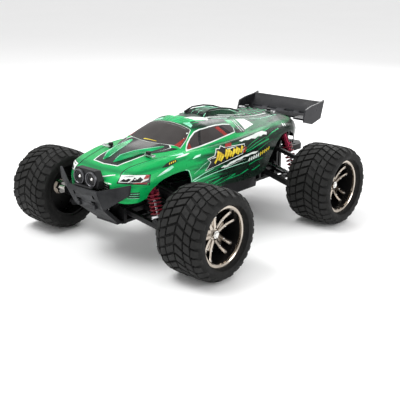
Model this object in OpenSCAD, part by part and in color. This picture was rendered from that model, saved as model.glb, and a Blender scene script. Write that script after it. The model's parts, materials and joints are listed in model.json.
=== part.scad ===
// Radio-controlled monster truck, 1:12 class, rear-wheel drive, in millimetres.
// Front is -Y, the truck's left is +X, up is +Z. The origin is on the ground below the middle.

/* [Truck] */
// Distance between the front and the rear axle
wheelbase = 203; // [202:0.5:204]
// Outside width across the tyres
overall_w = 270; // [269:0.5:272]
// Diameter of a tyre
tyre_d = 87; // [86:0.5:87.5]
// Width of a tyre
tyre_w = 54; // [52:0.5:54]
// Height of the chassis floor above the ground
floor_z = 34; // [33.5:0.5:34]

/* [Suspension] */
// Radius of the hinge pins
pin_r = 1.5; // [1.3:0.1:1.6]
// Radial clearance of every running fit
fit = 0.05; // [0.03:0.01:0.08]
// Radius of a coil spring at the middle of its wire
spring_r = 5.6; // [5.4:0.1:5.8]
// Turns of a coil spring
spring_turns = 6; // [4:0.5:7]

/* [Drive] */
// Teeth on the differential gear
gear_teeth = 48; // [48:1:48]
// Teeth on the motor pinion
pinion_teeth = 13; // [13:1:13]
// Gear module, pitch diameter over teeth
gear_module = 0.8; // [0.8:0.05:0.8]

/* [Body shell] */
// Thickness of the moulded body shell
shell_t = 1.4; // [1.2:0.1:1.6]

/* [Hidden] */
$fn = 48;
front_y = -115.5;                       // front axle
rear_y = front_y + wheelbase;           // rear axle
axle_z = tyre_d / 2;
wheel_out = overall_w / 2;              // outer face of a tyre
wheel_in = wheel_out - tyre_w;          // inner face of a tyre
rim_r = 28.4;                           // radius of the rim under the tyre
floor_t = 3;

// Each corner is a parallelogram: a lower arm and an upper link of the same length and slope.
f_in = [13, 46];                        // front arm's inner pivot, [x, z]
f_out = [67, 36.5];                     // front arm's outer pivot
r_in = [24, 47];                        // rear arm's inner pivot
r_out = [74, 34.5];                     // rear arm's outer pivot
f_link_up = 28;                         // front upper link above the arm
r_link_up = 33;                         // rear upper link above the arm
f_len = norm(f_out - f_in);
r_len = norm(r_out - r_in);
f_slope = atan2(f_in[1] - f_out[1], f_out[0] - f_in[0]);
r_slope = atan2(r_in[1] - r_out[1], r_out[0] - r_in[0]);
f_link_y = front_y + 9;
r_link_y = rear_y - 7.5;
king_x = 76;                            // kingpin
tie_y = front_y + 18;                   // tie rods and steering rack
tie_z = 46.5;                           // line of a tie rod below the kingpin's middle
tie_in = [king_x - f_out[0] + f_in[0], tie_z + f_in[1] - f_out[1]];
rack_z = tie_in[1] - 2.5;               // underside of the rack
rack_top = rack_z + 5;
horn_y = tie_y + 16;                    // steering servo's output

// Shock absorbers: [top x, top z], [bottom x, bottom z], y
f_shock = [[42, 85], [54.5, 43.5], front_y - 6.5];
r_shock = [[41, 89], [59.5, 47], rear_y + 10.5];

// Drive: the dogbones lie parallel to the rear arms.
cup_out = [67, axle_z];                 // outer ball of a dogbone
cup_in_x = 13.5;                        // inner ball
diff_z = axle_z + (cup_out[0] - cup_in_x) * tan(r_slope);
gear_gap = (gear_teeth + pinion_teeth) * gear_module / 2 + 0.1;
pinion_angle = 160;                     // direction from gear to pinion, seen from the left side
pinion_y = rear_y + gear_gap * cos(pinion_angle);
pinion_z = diff_z + gear_gap * sin(pinion_angle);

// ---------- helpers ----------

module right_if(s) { mirror([s == "right" ? 1 : 0, 0, 0]) children(); }

// A cylinder along X, Y, or from one point to another.
module xbar(x0, x1, y, z, r) { translate([x0, y, z]) rotate([0, 90, 0]) cylinder(h = x1 - x0, r = r); }
module ybar(x, z, y0, y1, r) { translate([x, y0, z]) rotate([-90, 0, 0]) cylinder(h = y1 - y0, r = r); }
module rod(p, q, r) {
    d = q - p;
    translate(p) rotate([0, acos(d[2] / norm(d)), atan2(d[1], d[0])]) cylinder(h = norm(d), r = r);
}
// A plate standing across the truck: a [x, z] outline between y0 and y1.
module xz_plate(y0, y1) { translate([0, y1, 0]) rotate([90, 0, 0]) linear_extrude(y1 - y0) children(); }
// A plate standing along the truck: a [y, z] outline between x0 and x1.
module yz_plate(x0, x1) {
    translate([x0, 0, 0]) rotate([90, 0, 90]) linear_extrude(x1 - x0) children();
}
module box(lo, hi) { translate(lo) cube(hi - lo); }
module both() { children(); mirror([1, 0, 0]) children(); }
// Local frame of an arm: u outwards along it, y along the truck, w square to it.
module on_slope(at, slope, y) { translate([at[0], y, at[1]]) rotate([0, slope, 0]) children(); }

// ---------- chassis ----------

tub_front = -72;
tub_rear = 52;
tub_half = 38;
nose_half = 17;
tail_half = 29;
door = [[-37, -6], [37, 38]];           // battery door opening, [x, y] corners
door_hinge = [door[1][1] - 2, floor_z + 1.5];
switch_at = [27, -40];                  // middle of the switch's slot
switch_travel = 4;
floor_screws = [[5, -124], [5, -106], [10, 64], [10, 112]];

module tub_outline() {
    polygon([[-nose_half, -135], [nose_half, -135], [nose_half, -96],
        [tub_half, tub_front], [tub_half, tub_rear], [tail_half, 66], [tail_half, 124],
        [-tail_half, 124], [-tail_half, 66], [-tub_half, tub_rear], [-tub_half, tub_front],
        [-nose_half, -96]]);
}
module lug(x, z, y0, y1, down_to) {
    box([x - 5, y0, down_to], [x + 5, y1, z]);
    ybar(x, z, y0, y1, 5);
}
module chassis_tub() {
    color([0.13, 0.13, 0.14]) difference() {
        union() {
            translate([0, 0, floor_z]) linear_extrude(floor_t) tub_outline();
            // side walls of the tub
            translate([0, 0, floor_z]) linear_extrude(17) difference() {
                polygon([[-tub_half, tub_front], [tub_half, tub_front], [tub_half, tub_rear],
                         [-tub_half, tub_rear]]);
                polygon([[-tub_half + 2.5, tub_front + 2.5], [tub_half - 2.5, tub_front + 2.5],
                         [tub_half - 2.5, tub_rear - 2.5], [-tub_half + 2.5, tub_rear - 2.5]]);
            }
            // front bulkhead with the arm and link lugs and the steering shelf
            box([-8, -129.8, floor_z], [8, -101.6, 80]);
            for (y = [[front_y - 18, front_y - 14.4], [front_y + 14.4, front_y + 18]]) both()
                lug(f_in[0], f_in[1], y[0], y[1], floor_z);
            for (y = [[f_link_y - 6.5, f_link_y - 2.8], [f_link_y + 2.8, f_link_y + 6]]) both()
                lug(f_in[0], f_in[1] + f_link_up, y[0], y[1], f_in[1] + f_link_up - 5);
            box([-16, -101.1, rack_z - 4.5], [16, -92.5, rack_z - 0.4]);
            box([-7.9, -102.5, rack_z - 4.5], [7.9, -101, rack_z - 0.4]);
            // rear bulkhead lugs
            for (y = [[rear_y - 17, rear_y - 13.4], [rear_y + 13.4, rear_y + 17]]) both()
                lug(r_in[0], r_in[1], y[0], y[1], floor_z);
            // battery end stops and servo seat
            box([-35.6, -9.5, floor_z], [35.6, -7, 44]);
            box([-35.6, 42.5, floor_z], [35.6, 45, 44]);
        }
        for (z = [f_in[1], f_in[1] + f_link_up]) both() ybar(f_in[0], z, -136, -92, pin_r + fit);
        both() ybar(r_in[0], r_in[1], rear_y - 18, rear_y + 18, pin_r + fit);
        // openings in the floor: battery door, its hinge barrel and the switch slot
        box([door[0][0], door[0][1], floor_z - 1], [door[1][0], door[1][1], floor_z + 4]);
        box([switch_at[0] - 1.7, switch_at[1] - 4.2, floor_z - 1],
            [switch_at[0] + 1.7, switch_at[1] + 4.2, floor_z + 4]);
        box([-13.2, tie_y - 1.3, rack_z - 2], [13.2, tie_y + 1.3, rack_z]);
        // gap for the servo in the tub's front wall
        box([-9.3, tub_front - 1, floor_z + floor_t], [9.3, tub_front + 3.5, floor_z + 20]);
        // window for the round bottom of the gearbox
        box([-13.3, rear_y - 11.5, floor_z - 1], [13.3, rear_y + 11.5, floor_z + 4]);
        xbar(-tub_half - 1, tub_half + 1, door_hinge[0], door_hinge[1], 0.8);
        for (p = floor_screws) both() translate([p[0], p[1], floor_z - 1])
            cylinder(h = 2.7, r = 2.1);
        // ventilation slots under the control box
        for (x = [-24, -16, -8]) box([x, -40, floor_z - 1], [x + 3, -22, floor_z + 4]);
    }
    // door hinge pin, held by the floor on both sides
    color("silver") xbar(-tub_half, tub_half, door_hinge[0], door_hinge[1], 0.79);
}
module battery_pack() {
    color([0.1, 0.25, 0.6]) translate([0, 17.5, 47.6]) minkowski() {
        cube([62, 28, 14], center = true);
        sphere(r = 3, $fn = 20);
    }
}
module battery_door() {
    gap = 0.4;
    color([0.16, 0.16, 0.17]) difference() {
        union() {
            box([door[0][0] + gap, door[0][1] + gap, floor_z],
                [door[1][0] - gap, door_hinge[0], floor_z + 2.2]);
            xbar(door[0][0] + gap, door[1][0] - gap, door_hinge[0], door_hinge[1], 1.5);
            // grip bar
            box([-8, door[0][1] + 3, floor_z + 2.2], [8, door[0][1] + 5, floor_z + 3.4]);
        }
        xbar(door[0][0] - 1, door[1][0] + 1, door_hinge[0], door_hinge[1], 0.8 + fit);
        for (i = [-2:2]) box([i * 12 - 4, 6, floor_z - 1], [i * 12 + 4, 8, floor_z + 4]);
    }
}
module power_switch() {
    y = switch_at[1] - switch_travel / 2;   // switched off
    color("black") {
        box([switch_at[0] - 1.4, y - 1.8, floor_z - 1.2],
            [switch_at[0] + 1.4, y + 1.8, floor_z + floor_t + 0.3]);
        box([switch_at[0] - 3.5, y - 3, floor_z + floor_t + 0.1],
            [switch_at[0] + 3.5, y + 3, floor_z + floor_t + 2]);
    }
}
module control_box() {
    color([0.2, 0.2, 0.22]) difference() {
        box([-34, -52, floor_z + floor_t], [4, -12, 53]);
        for (i = [0:5]) box([-30 + i * 5, -48, 50.5], [-28 + i * 5, -16, 54]);
    }
}
module steering_servo() {
    color([0.12, 0.12, 0.13]) {
        box([-9, horn_y - 9, floor_z + floor_t], [9, horn_y + 27, rack_z - 1]);
        for (y = [horn_y - 10.4, horn_y + 27]) box([-9, y, 48], [9, y + 1.4, 50]);
    }
    color("gold") translate([0, horn_y, rack_z - 1]) cylinder(h = 7, r = 3);
}
module servo_horn() {
    color([0.85, 0.85, 0.85]) difference() {
        union() {
            translate([0, horn_y, rack_top + 1.5]) linear_extrude(2.6) hull() {
                circle(r = 5, $fn = 32);
                translate([0, -16]) circle(r = 2.6, $fn = 32);
            }
            translate([0, horn_y - 16, rack_z + 2]) cylinder(h = 5, r = 1.4);
            translate([0, horn_y, rack_z + 3]) cylinder(h = 4, r = 4.4);
        }
        translate([0, horn_y, rack_z]) cylinder(h = 14, r = 3 + fit);
    }
}
module steering_rack() {
    color([0.16, 0.16, 0.17]) difference() {
        union() {
            box([-tie_in[0] + 3.4, tie_y - 2.4, rack_z], [tie_in[0] - 3.4, tie_y + 2.4, rack_top]);
            // plate around the horn's pin, and a keel in the shelf's groove
            box([-5, tie_y - 3.4, rack_z], [5, tie_y + 5.4, rack_top]);
            box([-5, tie_y - 1.2, rack_z - 1.8], [5, tie_y + 1.2, rack_z + 0.1]);
            both() box([tie_in[0] - 3.5, tie_y - 5, rack_z], [tie_in[0] + 2.6, tie_y - 2.8, rack_top]);
            both() box([tie_in[0] - 6, tie_y - 5, rack_z], [tie_in[0] - 3.4, tie_y + 2.4, rack_top]);
        }
        box([-1.7, tie_y - 1.7, rack_z + 0.6], [1.7, tie_y + 3.8, rack_top + 1]);
    }
    both() color("silver") ybar(tie_in[0], tie_in[1], tie_y - 2.8, tie_y + 3, 1.1);
}

// ---------- drive ----------

// Involute gear outline, teeth thinned by a little backlash.
function inv(a) = tan(a) * 180 / PI - a;
function gear_half(teeth, r, backlash) =
    let (pitch = gear_module * teeth / 2, base = pitch * cos(20))
    90 / teeth - backlash / pitch * 90 / PI + inv(20) - (r > base ? inv(acos(base / r)) : 0);
module gear(teeth, width, backlash = 0.24) {
    pitch = gear_module * teeth / 2;
    radii = [for (k = [0:4]) pitch - 1.15 * gear_module + k * 2.1 * gear_module / 4];
    linear_extrude(width) polygon([for (i = [0:teeth - 1], side = [-1, 1], k = [0:4])
        let (r = radii[side < 0 ? k : 4 - k],
             a = i * 360 / teeth + side * gear_half(teeth, r, backlash)) r * [cos(a), sin(a)]]);
}
module x_gear(teeth, width, x, y, z, turn) {
    translate([x, y, z]) rotate([90, 0, 90]) rotate([0, 0, turn]) gear(teeth, width);
}
module motor_pinion() {
    // the pinion has a tooth gap facing the gear's tooth
    color([0.8, 0.7, 0.4]) x_gear(pinion_teeth, 8, -5, pinion_y, pinion_z,
                                  pinion_angle + 180 + 180 / pinion_teeth);
    color("silver") xbar(-14, -5, pinion_y, pinion_z, 1.6);
}
module drive_motor() {
    color([0.75, 0.75, 0.77]) difference() {
        union() {
            xbar(-40, -14.2, pinion_y, pinion_z, 12);
            xbar(-43, -39.9, pinion_y, pinion_z, 9);
        }
        for (a = [0, 120, 240]) translate([0, pinion_y, pinion_z]) rotate([a, 0, 0])
            xbar(-41, -38, 0, 8, 1.8);
        xbar(-19, -13, pinion_y, pinion_z, 3.2);
    }
}
module output_cup(x0, x1, y, z) {
    difference() {
        xbar(x0, x1, y, z, 5.5);
        xbar(x0 + 1, x1 + 1, y, z, 4.3);
    }
}
module diff_gear() {
    color([0.82, 0.8, 0.72]) {
        x_gear(gear_teeth, 6, -4, rear_y, diff_z, pinion_angle);
        xbar(1.99, 9, rear_y, diff_z, 11);
        both() xbar(3, 9.01, rear_y, diff_z, 5);
        both() output_cup(9, 19, rear_y, diff_z);
    }
}
case_r = 22.4;
module case_outline(shrink = 0) {
    // rear_y and pinion_y both grow to the right of this outline
    hull() {
        translate([rear_y, diff_z]) circle(r = case_r - shrink, $fn = 96);
        translate([pinion_y, pinion_z]) circle(r = 9.4 - shrink, $fn = 64);
    }
}
module gearbox_half() {
    yz_plate(11, 13) case_outline();
    yz_plate(0.05, 11) difference() {
        case_outline();
        case_outline(2);
    }
    // foot on the chassis floor
    box([12, rear_y - 8, floor_z + floor_t], [18, rear_y + 8, floor_z + floor_t + 3]);
}
module gearbox_case() {
    color([0.15, 0.15, 0.16]) difference() {
        mirror([1, 0, 0]) gearbox_half();
        xbar(-14, -8, rear_y, diff_z, 5.5 + fit);
        xbar(-14, -8, pinion_y, pinion_z, 3);
    }
}
module gearbox_cover() {
    color([0.17, 0.17, 0.18]) difference() {
        gearbox_half();
        xbar(8, 14, rear_y, diff_z, 5.5 + fit);
    }
}
module drive_dogbone(s) {
    p = [cup_in_x, rear_y, diff_z];
    q = [cup_out[0], rear_y, cup_out[1]];
    right_if(s) color([0.7, 0.7, 0.72]) {
        rod(p, q, 1.9);
        for (c = [p, q]) {
            translate(c) sphere(r = 3.2);
            translate(c) rotate([0, r_slope, 0]) ybar(0, 0, -3.85, 3.85, 1);
        }
    }
}

// ---------- suspension ----------

// Lower arm: two rails, cross bars and open slots between them.
module arm_plate(len, half_in, half_out, rails, bars) {
    difference() {
        union() {
            translate([0, 0, -2.4]) linear_extrude(4.8) difference() {
                polygon([[0, -half_in], [len, -half_out], [len, half_out], [0, half_in]]);
                for (b = bars) polygon([[b[0], -half_in + rails + b[0] * (half_in - half_out) / len],
                    [b[1], -half_in + rails + b[1] * (half_in - half_out) / len],
                    [b[1], half_in - rails - b[1] * (half_in - half_out) / len],
                    [b[0], half_in - rails - b[0] * (half_in - half_out) / len]]);
            }
            ybar(0, 0, -half_in, half_in, 3.4);
            ybar(len, 0, -half_out, half_out, 3.4);
        }
        ybar(0, 0, -half_in - 1, half_in + 1, pin_r);
        ybar(len, 0, -half_out - 1, half_out + 1, pin_r);
        // room for the hub's lug between the prongs
        box([len - 5.2, -6.9, -6], [len + 6, 6.9, 6]);
    }
}
module shock_ears(at, y) {
    for (s = [-1, 1]) difference() {
        union() {
            ybar(at[0], at[1], y + s * 4.6 - 1.2, y + s * 4.6 + 1.2, 3.2);
            box([at[0] - 3.2, y + s * 4.6 - 1.2, at[1] - 7], [at[0] + 3.2, y + s * 4.6 + 1.2, at[1]]);
        }
        ybar(at[0], at[1], y - 7, y + 7, 1.2);
    }
}
module front_arm(s) {
    right_if(s) {
        color([0.12, 0.12, 0.13]) {
            difference() {
                on_slope(f_in, f_slope, front_y) arm_plate(f_len, 14, 12, 5, [[6, 22], [26, 34]]);
                // recess under the shock's eye
                ybar(f_shock[1][0], f_shock[1][1], f_shock[2] - 3.4, f_shock[2] + 3.4, 3.8);
            }
            shock_ears(f_shock[1], f_shock[2]);
        }
        color("silver") {
            ybar(f_in[0], f_in[1], front_y - 18, front_y + 18, pin_r - 0.01);
            ybar(f_out[0], f_out[1], front_y - 12.6, front_y + 12.6, pin_r - 0.01);
            ybar(f_shock[1][0], f_shock[1][1], f_shock[2] - 6, f_shock[2] + 6, 1.19);
        }
    }
}
module rear_arm(s) {
    right_if(s) {
        color([0.12, 0.12, 0.13]) {
            on_slope(r_in, r_slope, rear_y) arm_plate(r_len, 13, 13, 5.5, [[6, 26], [30, 46.8]]);
            shock_ears(r_shock[1], r_shock[2]);
            box([r_shock[1][0] - 3.2, rear_y + 4.7, 36.5],
                [r_shock[1][0] + 3.2, r_shock[2] + 5.8, 40.5]);
        }
        color("silver") {
            ybar(r_in[0], r_in[1], rear_y - 17, rear_y + 17, pin_r - 0.01);
            ybar(r_out[0], r_out[1], rear_y - 13.6, rear_y + 13.6, pin_r - 0.01);
            ybar(r_shock[1][0], r_shock[1][1], r_shock[2] - 6, r_shock[2] + 6, 1.19);
        }
    }
}
module link_bar(len) {
    difference() {
        union() {
            for (u = [0, len]) ybar(u, 0, -2.5, 2.5, 3.4);
            box([2, -1.6, -2.2], [len - 2, 1.6, 2.2]);
        }
        for (u = [0, len]) ybar(u, 0, -3, 3, pin_r);
    }
}
module front_link(s) {
    right_if(s) {
        color([0.12, 0.12, 0.13])
            on_slope(f_in + [0, f_link_up], f_slope, f_link_y) link_bar(f_len);
        color("silver") {
            ybar(f_in[0], f_in[1] + f_link_up, f_link_y - 6.5, f_link_y + 6, pin_r - 0.01);
            ybar(f_out[0], f_out[1] + f_link_up, front_y - 6, f_link_y + 3, pin_r - 0.01);
        }
    }
}
module rear_link(s) {
    right_if(s) {
        color([0.12, 0.12, 0.13])
            on_slope(r_in + [0, r_link_up], r_slope, r_link_y) link_bar(r_len);
        color("silver") {
            ybar(r_in[0], r_in[1] + r_link_up, r_link_y - 6.5, r_link_y + 6.5, pin_r - 0.01);
            ybar(r_out[0], r_out[1] + r_link_up, r_link_y - 3, rear_y + 4.5, pin_r - 0.01);
        }
    }
}
module caster_block(s) {
    z0 = f_out[1];
    z1 = z0 + f_link_up;
    right_if(s) {
        color([0.14, 0.14, 0.15]) difference() {
            union() {
                xz_plate(front_y - 6, front_y + 6) polygon([[63.6, z0 - 1], [65, z0 - 4.4],
                    [king_x + 4, z0 - 4.4], [king_x + 4, z0 - 0.6], [68.6, z0 - 0.6],
                    [68.6, z1 - 13], [king_x + 4, z1 - 13], [king_x + 4, z1 - 9], [70.5, z1 - 5],
                    [70.5, z1], [63.6, z1], [63.6, z1 - 8], [64.4, z1 - 12], [64.4, z0 + 6]]);
                ybar(f_out[0], z0, front_y - 6, front_y + 6, 3.5);
                ybar(f_out[0], z1, front_y - 6, front_y + 6, 3.5);
            }
            for (z = [z0, z1]) ybar(f_out[0], z, front_y - 9, front_y + 9, pin_r + fit);
            translate([king_x, front_y, 20]) cylinder(h = 60, r = pin_r + fit);
        }
    }
}
module steering_knuckle(s) {
    z0 = f_out[1] - 0.3;
    z1 = f_out[1] + f_link_up - 13.3;
    right_if(s) {
        color([0.14, 0.14, 0.15]) difference() {
            union() {
                translate([king_x, front_y, z0]) cylinder(h = z1 - z0, r = 5.1);
                translate([king_x, front_y, z0 + 4.6]) cylinder(h = z1 - z0 - 4.6, r = 6.2);
                xbar(king_x, king_x + 11, front_y, axle_z, 6.9);
                box([king_x - 2.5, front_y, z1 - 3.4], [king_x + 2.5, tie_y, z1 - 0.9]);
                translate([king_x, tie_y, z1 - 3.4]) cylinder(h = 2.5, r = 3);
            }
            translate([king_x, front_y, z0 - 1]) cylinder(h = 40, r = pin_r);
            xbar(king_x + 2, king_x + 12, front_y, axle_z, 5);
        }
        color("silver") {
            translate([king_x, front_y, z0 - 4]) cylinder(h = z1 - z0 + 8, r = pin_r - 0.01);
            translate([king_x, tie_y, tie_z - 2]) sphere(r = 2.1);
            translate([king_x, tie_y, tie_z - 2]) cylinder(h = z1 - 2.5 - (tie_z - 2), r = 1.1);
            // ball bearings
            for (x = [king_x + 2.1, king_x + 8]) difference() {
                xbar(x, x + 3, front_y, axle_z, 4.98);
                xbar(x - 1, x + 4, front_y, axle_z, 2.5 + fit);
            }
        }
    }
}
module tie_rod(s) {
    p = [tie_in[0], tie_y, tie_in[1]];
    u = [f_out[0] - f_in[0], 0, f_out[1] - f_in[1]] / f_len;
    right_if(s) color([0.2, 0.2, 0.21]) difference() {
        union() {
            rod(p + 2 * u, p + (f_len - 7) * u, 1.7);
            ybar(p[0], p[2], tie_y - 2.4, tie_y + 2.4, 2.8);
            rod(p + (f_len - 7) * u, [king_x - 4.6, tie_y, tie_z - 2], 1.9);
            translate([p[0] + (f_len - 7) * u[0], tie_y, p[2] + (f_len - 7) * u[2]]) sphere(r = 1.9);
            translate([king_x, tie_y, tie_z - 3.4]) cylinder(h = 2.8, r = 5.2);
        }
        ybar(p[0], p[2], tie_y - 5, tie_y + 5, 1.1 + fit);
        translate([king_x, tie_y, tie_z - 6]) cylinder(h = 12, r = 4.2);
    }
}
module rear_hub(s) {
    z0 = r_out[1];
    z1 = z0 + r_link_up;
    right_if(s) {
        color([0.14, 0.14, 0.15]) difference() {
            union() {
                xbar(72.5, 85, rear_y, axle_z, 8);
                ybar(r_out[0], z0, rear_y - 6.5, rear_y + 6.5, 3.5);
                box([72.5, rear_y - 6.5, z0], [80, rear_y + 6.5, axle_z]);
                box([72.5, rear_y - 4.2, axle_z], [77.5, rear_y + 4.2, z1]);
                ybar(r_out[0], z1, rear_y - 4.2, rear_y + 4.2, 3.5);
            }
            ybar(r_out[0], z0, rear_y - 9, rear_y + 9, pin_r + fit);
            ybar(r_out[0], z1, rear_y - 9, rear_y + 9, pin_r + fit);
            xbar(70, 90, rear_y, axle_z, 5);
        }
        color("silver") for (x = [73, 81.5]) difference() {
            xbar(x, x + 3, rear_y, axle_z, 4.98);
            xbar(x - 1, x + 4, rear_y, axle_z, 2.5 + fit);
        }
    }
}

// ---------- shock absorbers ----------

function shock_of(e) = e == "front" ? f_shock : r_shock;
// Local frame of a shock: origin at the top eye, -Z down along it.
module on_shock(e) {
    a = shock_of(e);
    d = a[1] - a[0];
    translate([a[0][0], a[2], a[0][1]]) rotate([0, -atan2(d[0], -d[1]), 0]) children();
}
function shock_len(e) = norm(shock_of(e)[1] - shock_of(e)[0]);
tube_len = 20.5;
collar_at = 15.5;
module shock_body(e, s) {
    right_if(s) on_shock(e) color([0.45, 0.07, 0.12]) difference() {
        union() {
            translate([0, 0, -tube_len - 2.5]) cylinder(h = tube_len, r = 4.2);
            translate([0, 0, -8.5]) cylinder(h = 5.5, r = 4.5);
            translate([0, 0, -collar_at]) cylinder(h = 2, r = 6.6);
            ybar(0, 0, -3, 3, 3.4);
            box([-2.4, -3, -4], [2.4, 3, 0]);
        }
        ybar(0, 0, -4, 4, pin_r + fit);
        translate([0, 0, -tube_len]) cylinder(h = tube_len - 5.6, r = 3.4);
        translate([0, 0, -40]) cylinder(h = 30, r = 1.3);
    }
}
module shock_rod(e, s) {
    l = shock_len(e);
    right_if(s) on_shock(e) {
        color("silver") translate([0, 0, -l + 4]) cylinder(h = l - tube_len - 2.8, r = 1.25);
        color("silver") translate([0, 0, -tube_len + 0.2]) cylinder(h = 1.2, r = 3.3);
        color([0.15, 0.15, 0.16]) difference() {
            union() {
                translate([0, 0, -l + 3.4]) cylinder(h = 1.8, r = 6.6);
                translate([0, 0, -l]) ybar(0, 0, -2.8, 2.8, 3);
                box([-2, -2.8, -l], [2, 2.8, -l + 3.6]);
            }
            // the eye is the linkage's open pivot, so its hole is wide
            translate([0, 0, -l]) ybar(0, 0, -4, 4, 2.1);
        }
    }
}
module spring(e, s) {
    bottom = -shock_len(e) + 6;
    height = -collar_at - 0.8 - bottom;
    steps = 16 * spring_turns;
    sides = 6;
    wire = 0.75;
    pts = [for (i = [0:steps], j = [0:sides - 1])
        let (a = 360 * spring_turns * i / steps, b = 360 * j / sides,
             r = spring_r + wire * cos(b))
        [r * cos(a), r * sin(a), bottom + height * i / steps + wire * sin(b)]];
    faces = concat([[for (j = [0:sides - 1]) j]],
        [for (i = [0:steps - 1], j = [0:sides - 1])
            [i * sides + j, (i + 1) * sides + j, (i + 1) * sides + (j + 1) % sides,
             i * sides + (j + 1) % sides]],
        [[for (j = [sides - 1:-1:0]) steps * sides + j]]);
    right_if(s) on_shock(e) color([0.75, 0.08, 0.1]) polyhedron(pts, faces);
}
module tower_pins(a, y0, y1) { both() ybar(a[0][0], a[0][1], y0, y1, pin_r); }
module front_shock_tower() {
    y1 = -129.9;
    color([0.12, 0.12, 0.13]) {
        xz_plate(y1 - 3.2, y1) polygon([[-12, 52.5], [12, 52.5], [16, 66], [30, 76], [44.5, 80],
            [44.5, 86.5], [40, 88.5], [24, 85], [-24, 85], [-40, 88.5], [-44.5, 86.5],
            [-44.5, 80], [-30, 76], [-16, 66]]);
        tower_pins(f_shock, y1 - 1, f_shock[2] + 4);
        // front body posts on arms that reach back from the tower
        both() box([24, y1 - 0.5, 80.5], [30, front_post[1] + 3, 83.5]);
        both() body_post(front_post, 82, 103.6, clip_z[0]);
    }
}
module rear_shock_tower() {
    y0 = rear_y + 18.4;
    color([0.12, 0.12, 0.13]) {
        xz_plate(y0, y0 + 3.2) difference() {
            polygon([[-28, floor_z + floor_t], [28, floor_z + floor_t], [28, 60], [34, 78], [43.4, 84],
                [43.4, 90.5], [38, 93], [20, 92], [-20, 92], [-38, 93], [-43.4, 90.5],
                [-43.4, 84], [-34, 78], [-28, 60]]);
            polygon([[-14, floor_z], [14, floor_z], [14, 82], [-14, 82]]);
        }
        tower_pins(r_shock, r_shock[2] - 4, y0 + 1);
        // bridge over the gearbox with the upper link lugs
        box([-12, r_link_y - 7, 82.5], [12, y0 + 1, 86]);
        difference() {
            for (y = [r_link_y - 6.5, r_link_y + 2.9]) {
                box([-r_in[0] - 4, y, 80], [r_in[0] + 4, y + 3.5, 86]);
                both() lug(r_in[0], r_in[1] + r_link_up, y, y + 3.5, r_in[1] + r_link_up - 1);
            }
            box([-14, rear_y - 30, 70], [14, rear_y + 20, 82.5]);
            both() ybar(r_in[0], r_in[1] + r_link_up, rear_y - 20, rear_y + 10, pin_r + fit);
        }
        // rear body posts
        both() body_post(rear_post, 84, 113, clip_z[1]);
        both() box([11.9, y0 - 5, 82.5], [18, y0 + 1, 88]);
    }
}

// ---------- wheels ----------

module x_revolve() { rotate([0, 90, 0]) rotate_extrude($fn = 96) children(); }
spokes = 5;
module rim_solid() {
    x_revolve() polygon([[26, wheel_in + 3], [rim_r + 1.6, wheel_in + 3],
        [rim_r + 1.6, wheel_in + 4.4], [rim_r - 0.2, wheel_in + 6],
        [rim_r - 0.2, wheel_out - 9.4], [rim_r + 1.6, wheel_out - 7.8],
        [rim_r + 1.6, wheel_out - 5], [25.6, wheel_out - 5], [25, wheel_out - 8],
        [25.6, wheel_out - 12], [26, wheel_in + 20]]);
    x_revolve() polygon([[2.52, 104], [8, 104], [8, 113], [5.6, 116], [2.52, 116]]);
    // pairs of thin spokes that lean outwards to the rim ring
    for (i = [0:spokes - 1]) rotate([360 / spokes * i, 0, 0]) spoke_pair();
}
// One pair, pointing up: a tapered fork, [y, z], 6 mm deep along the axle.
module spoke_pair() {
    yz_plate(108, 113.6) difference() {
        polygon([[-5.2, 5], [5.2, 5], [6.6, 25.9], [-6.6, 25.9]]);
        polygon([[-1, 9.5], [1, 9.5], [3.4, 27], [-3.4, 27]]);
    }
}
module wheel_shaft(rear) {
    color("silver") {
        xbar(rear ? 72 : king_x + 2.4, 119.5, 0, 0, 2.5);
        if (rear) output_shaft_cup();
    }
    // hexagonal drive hub and lock nut
    color([0.25, 0.25, 0.27]) difference() {
        translate([98, 0, 0]) rotate([0, 90, 0]) cylinder(h = 5.9, r = 6.9, $fn = 6);
        xbar(97, 105, 0, 0, 2.52);
    }
    color("silver") difference() {
        translate([116.1, 0, 0]) rotate([0, 90, 0]) cylinder(h = 3.6, r = 4.6, $fn = 6);
        xbar(115, 121, 0, 0, 2.52);
    }
}
module output_shaft_cup() { mirror([1, 0, 0]) output_cup(-72.1, -63.4, 0, 0); }
function axle_y(e) = e == "front" ? front_y : rear_y;
module rim(e, s) {
    right_if(s) translate([0, axle_y(e), axle_z]) {
        color([0.45, 0.38, 0.3]) rim_solid();
        wheel_shaft(e == "rear");
    }
}
module tyre(e, s) {
    r = tyre_d / 2;
    t = 4;
    right_if(s) color([0.06, 0.06, 0.06]) translate([0, axle_y(e), axle_z]) x_revolve() difference() {
        polygon([[rim_r - 0.1, wheel_in + 6.1], [rim_r + 1.8, wheel_in + 4.6],
            [rim_r + 1.8, wheel_in + 1.5], [rim_r + 6, wheel_in], [r - 7, wheel_in],
            [r - 1.6, wheel_in + 5], [r, wheel_in + 14], [r, wheel_out - 14],
            [r - 1.6, wheel_out - 5], [r - 7, wheel_out], [rim_r + 6, wheel_out],
            [rim_r + 1.8, wheel_out - 4], [rim_r + 1.8, wheel_out - 8],
            [rim_r - 0.1, wheel_out - 9.5], [rim_r - 0.1, wheel_out - 9.6 - t],
            [rim_r + 7, wheel_out - t - 1], [r - 8, wheel_out - t], [r - t - 1.2, wheel_out - 8],
            [r - t, wheel_out - 15], [r - t, wheel_in + 15], [r - t - 1.2, wheel_in + 8],
            [r - 8, wheel_in + t], [rim_r + 7, wheel_in + t + 1], [rim_r - 0.1, wheel_in + 6.2 + t]]);
    }
}

// ---------- bumpers, wing and body ----------

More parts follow.
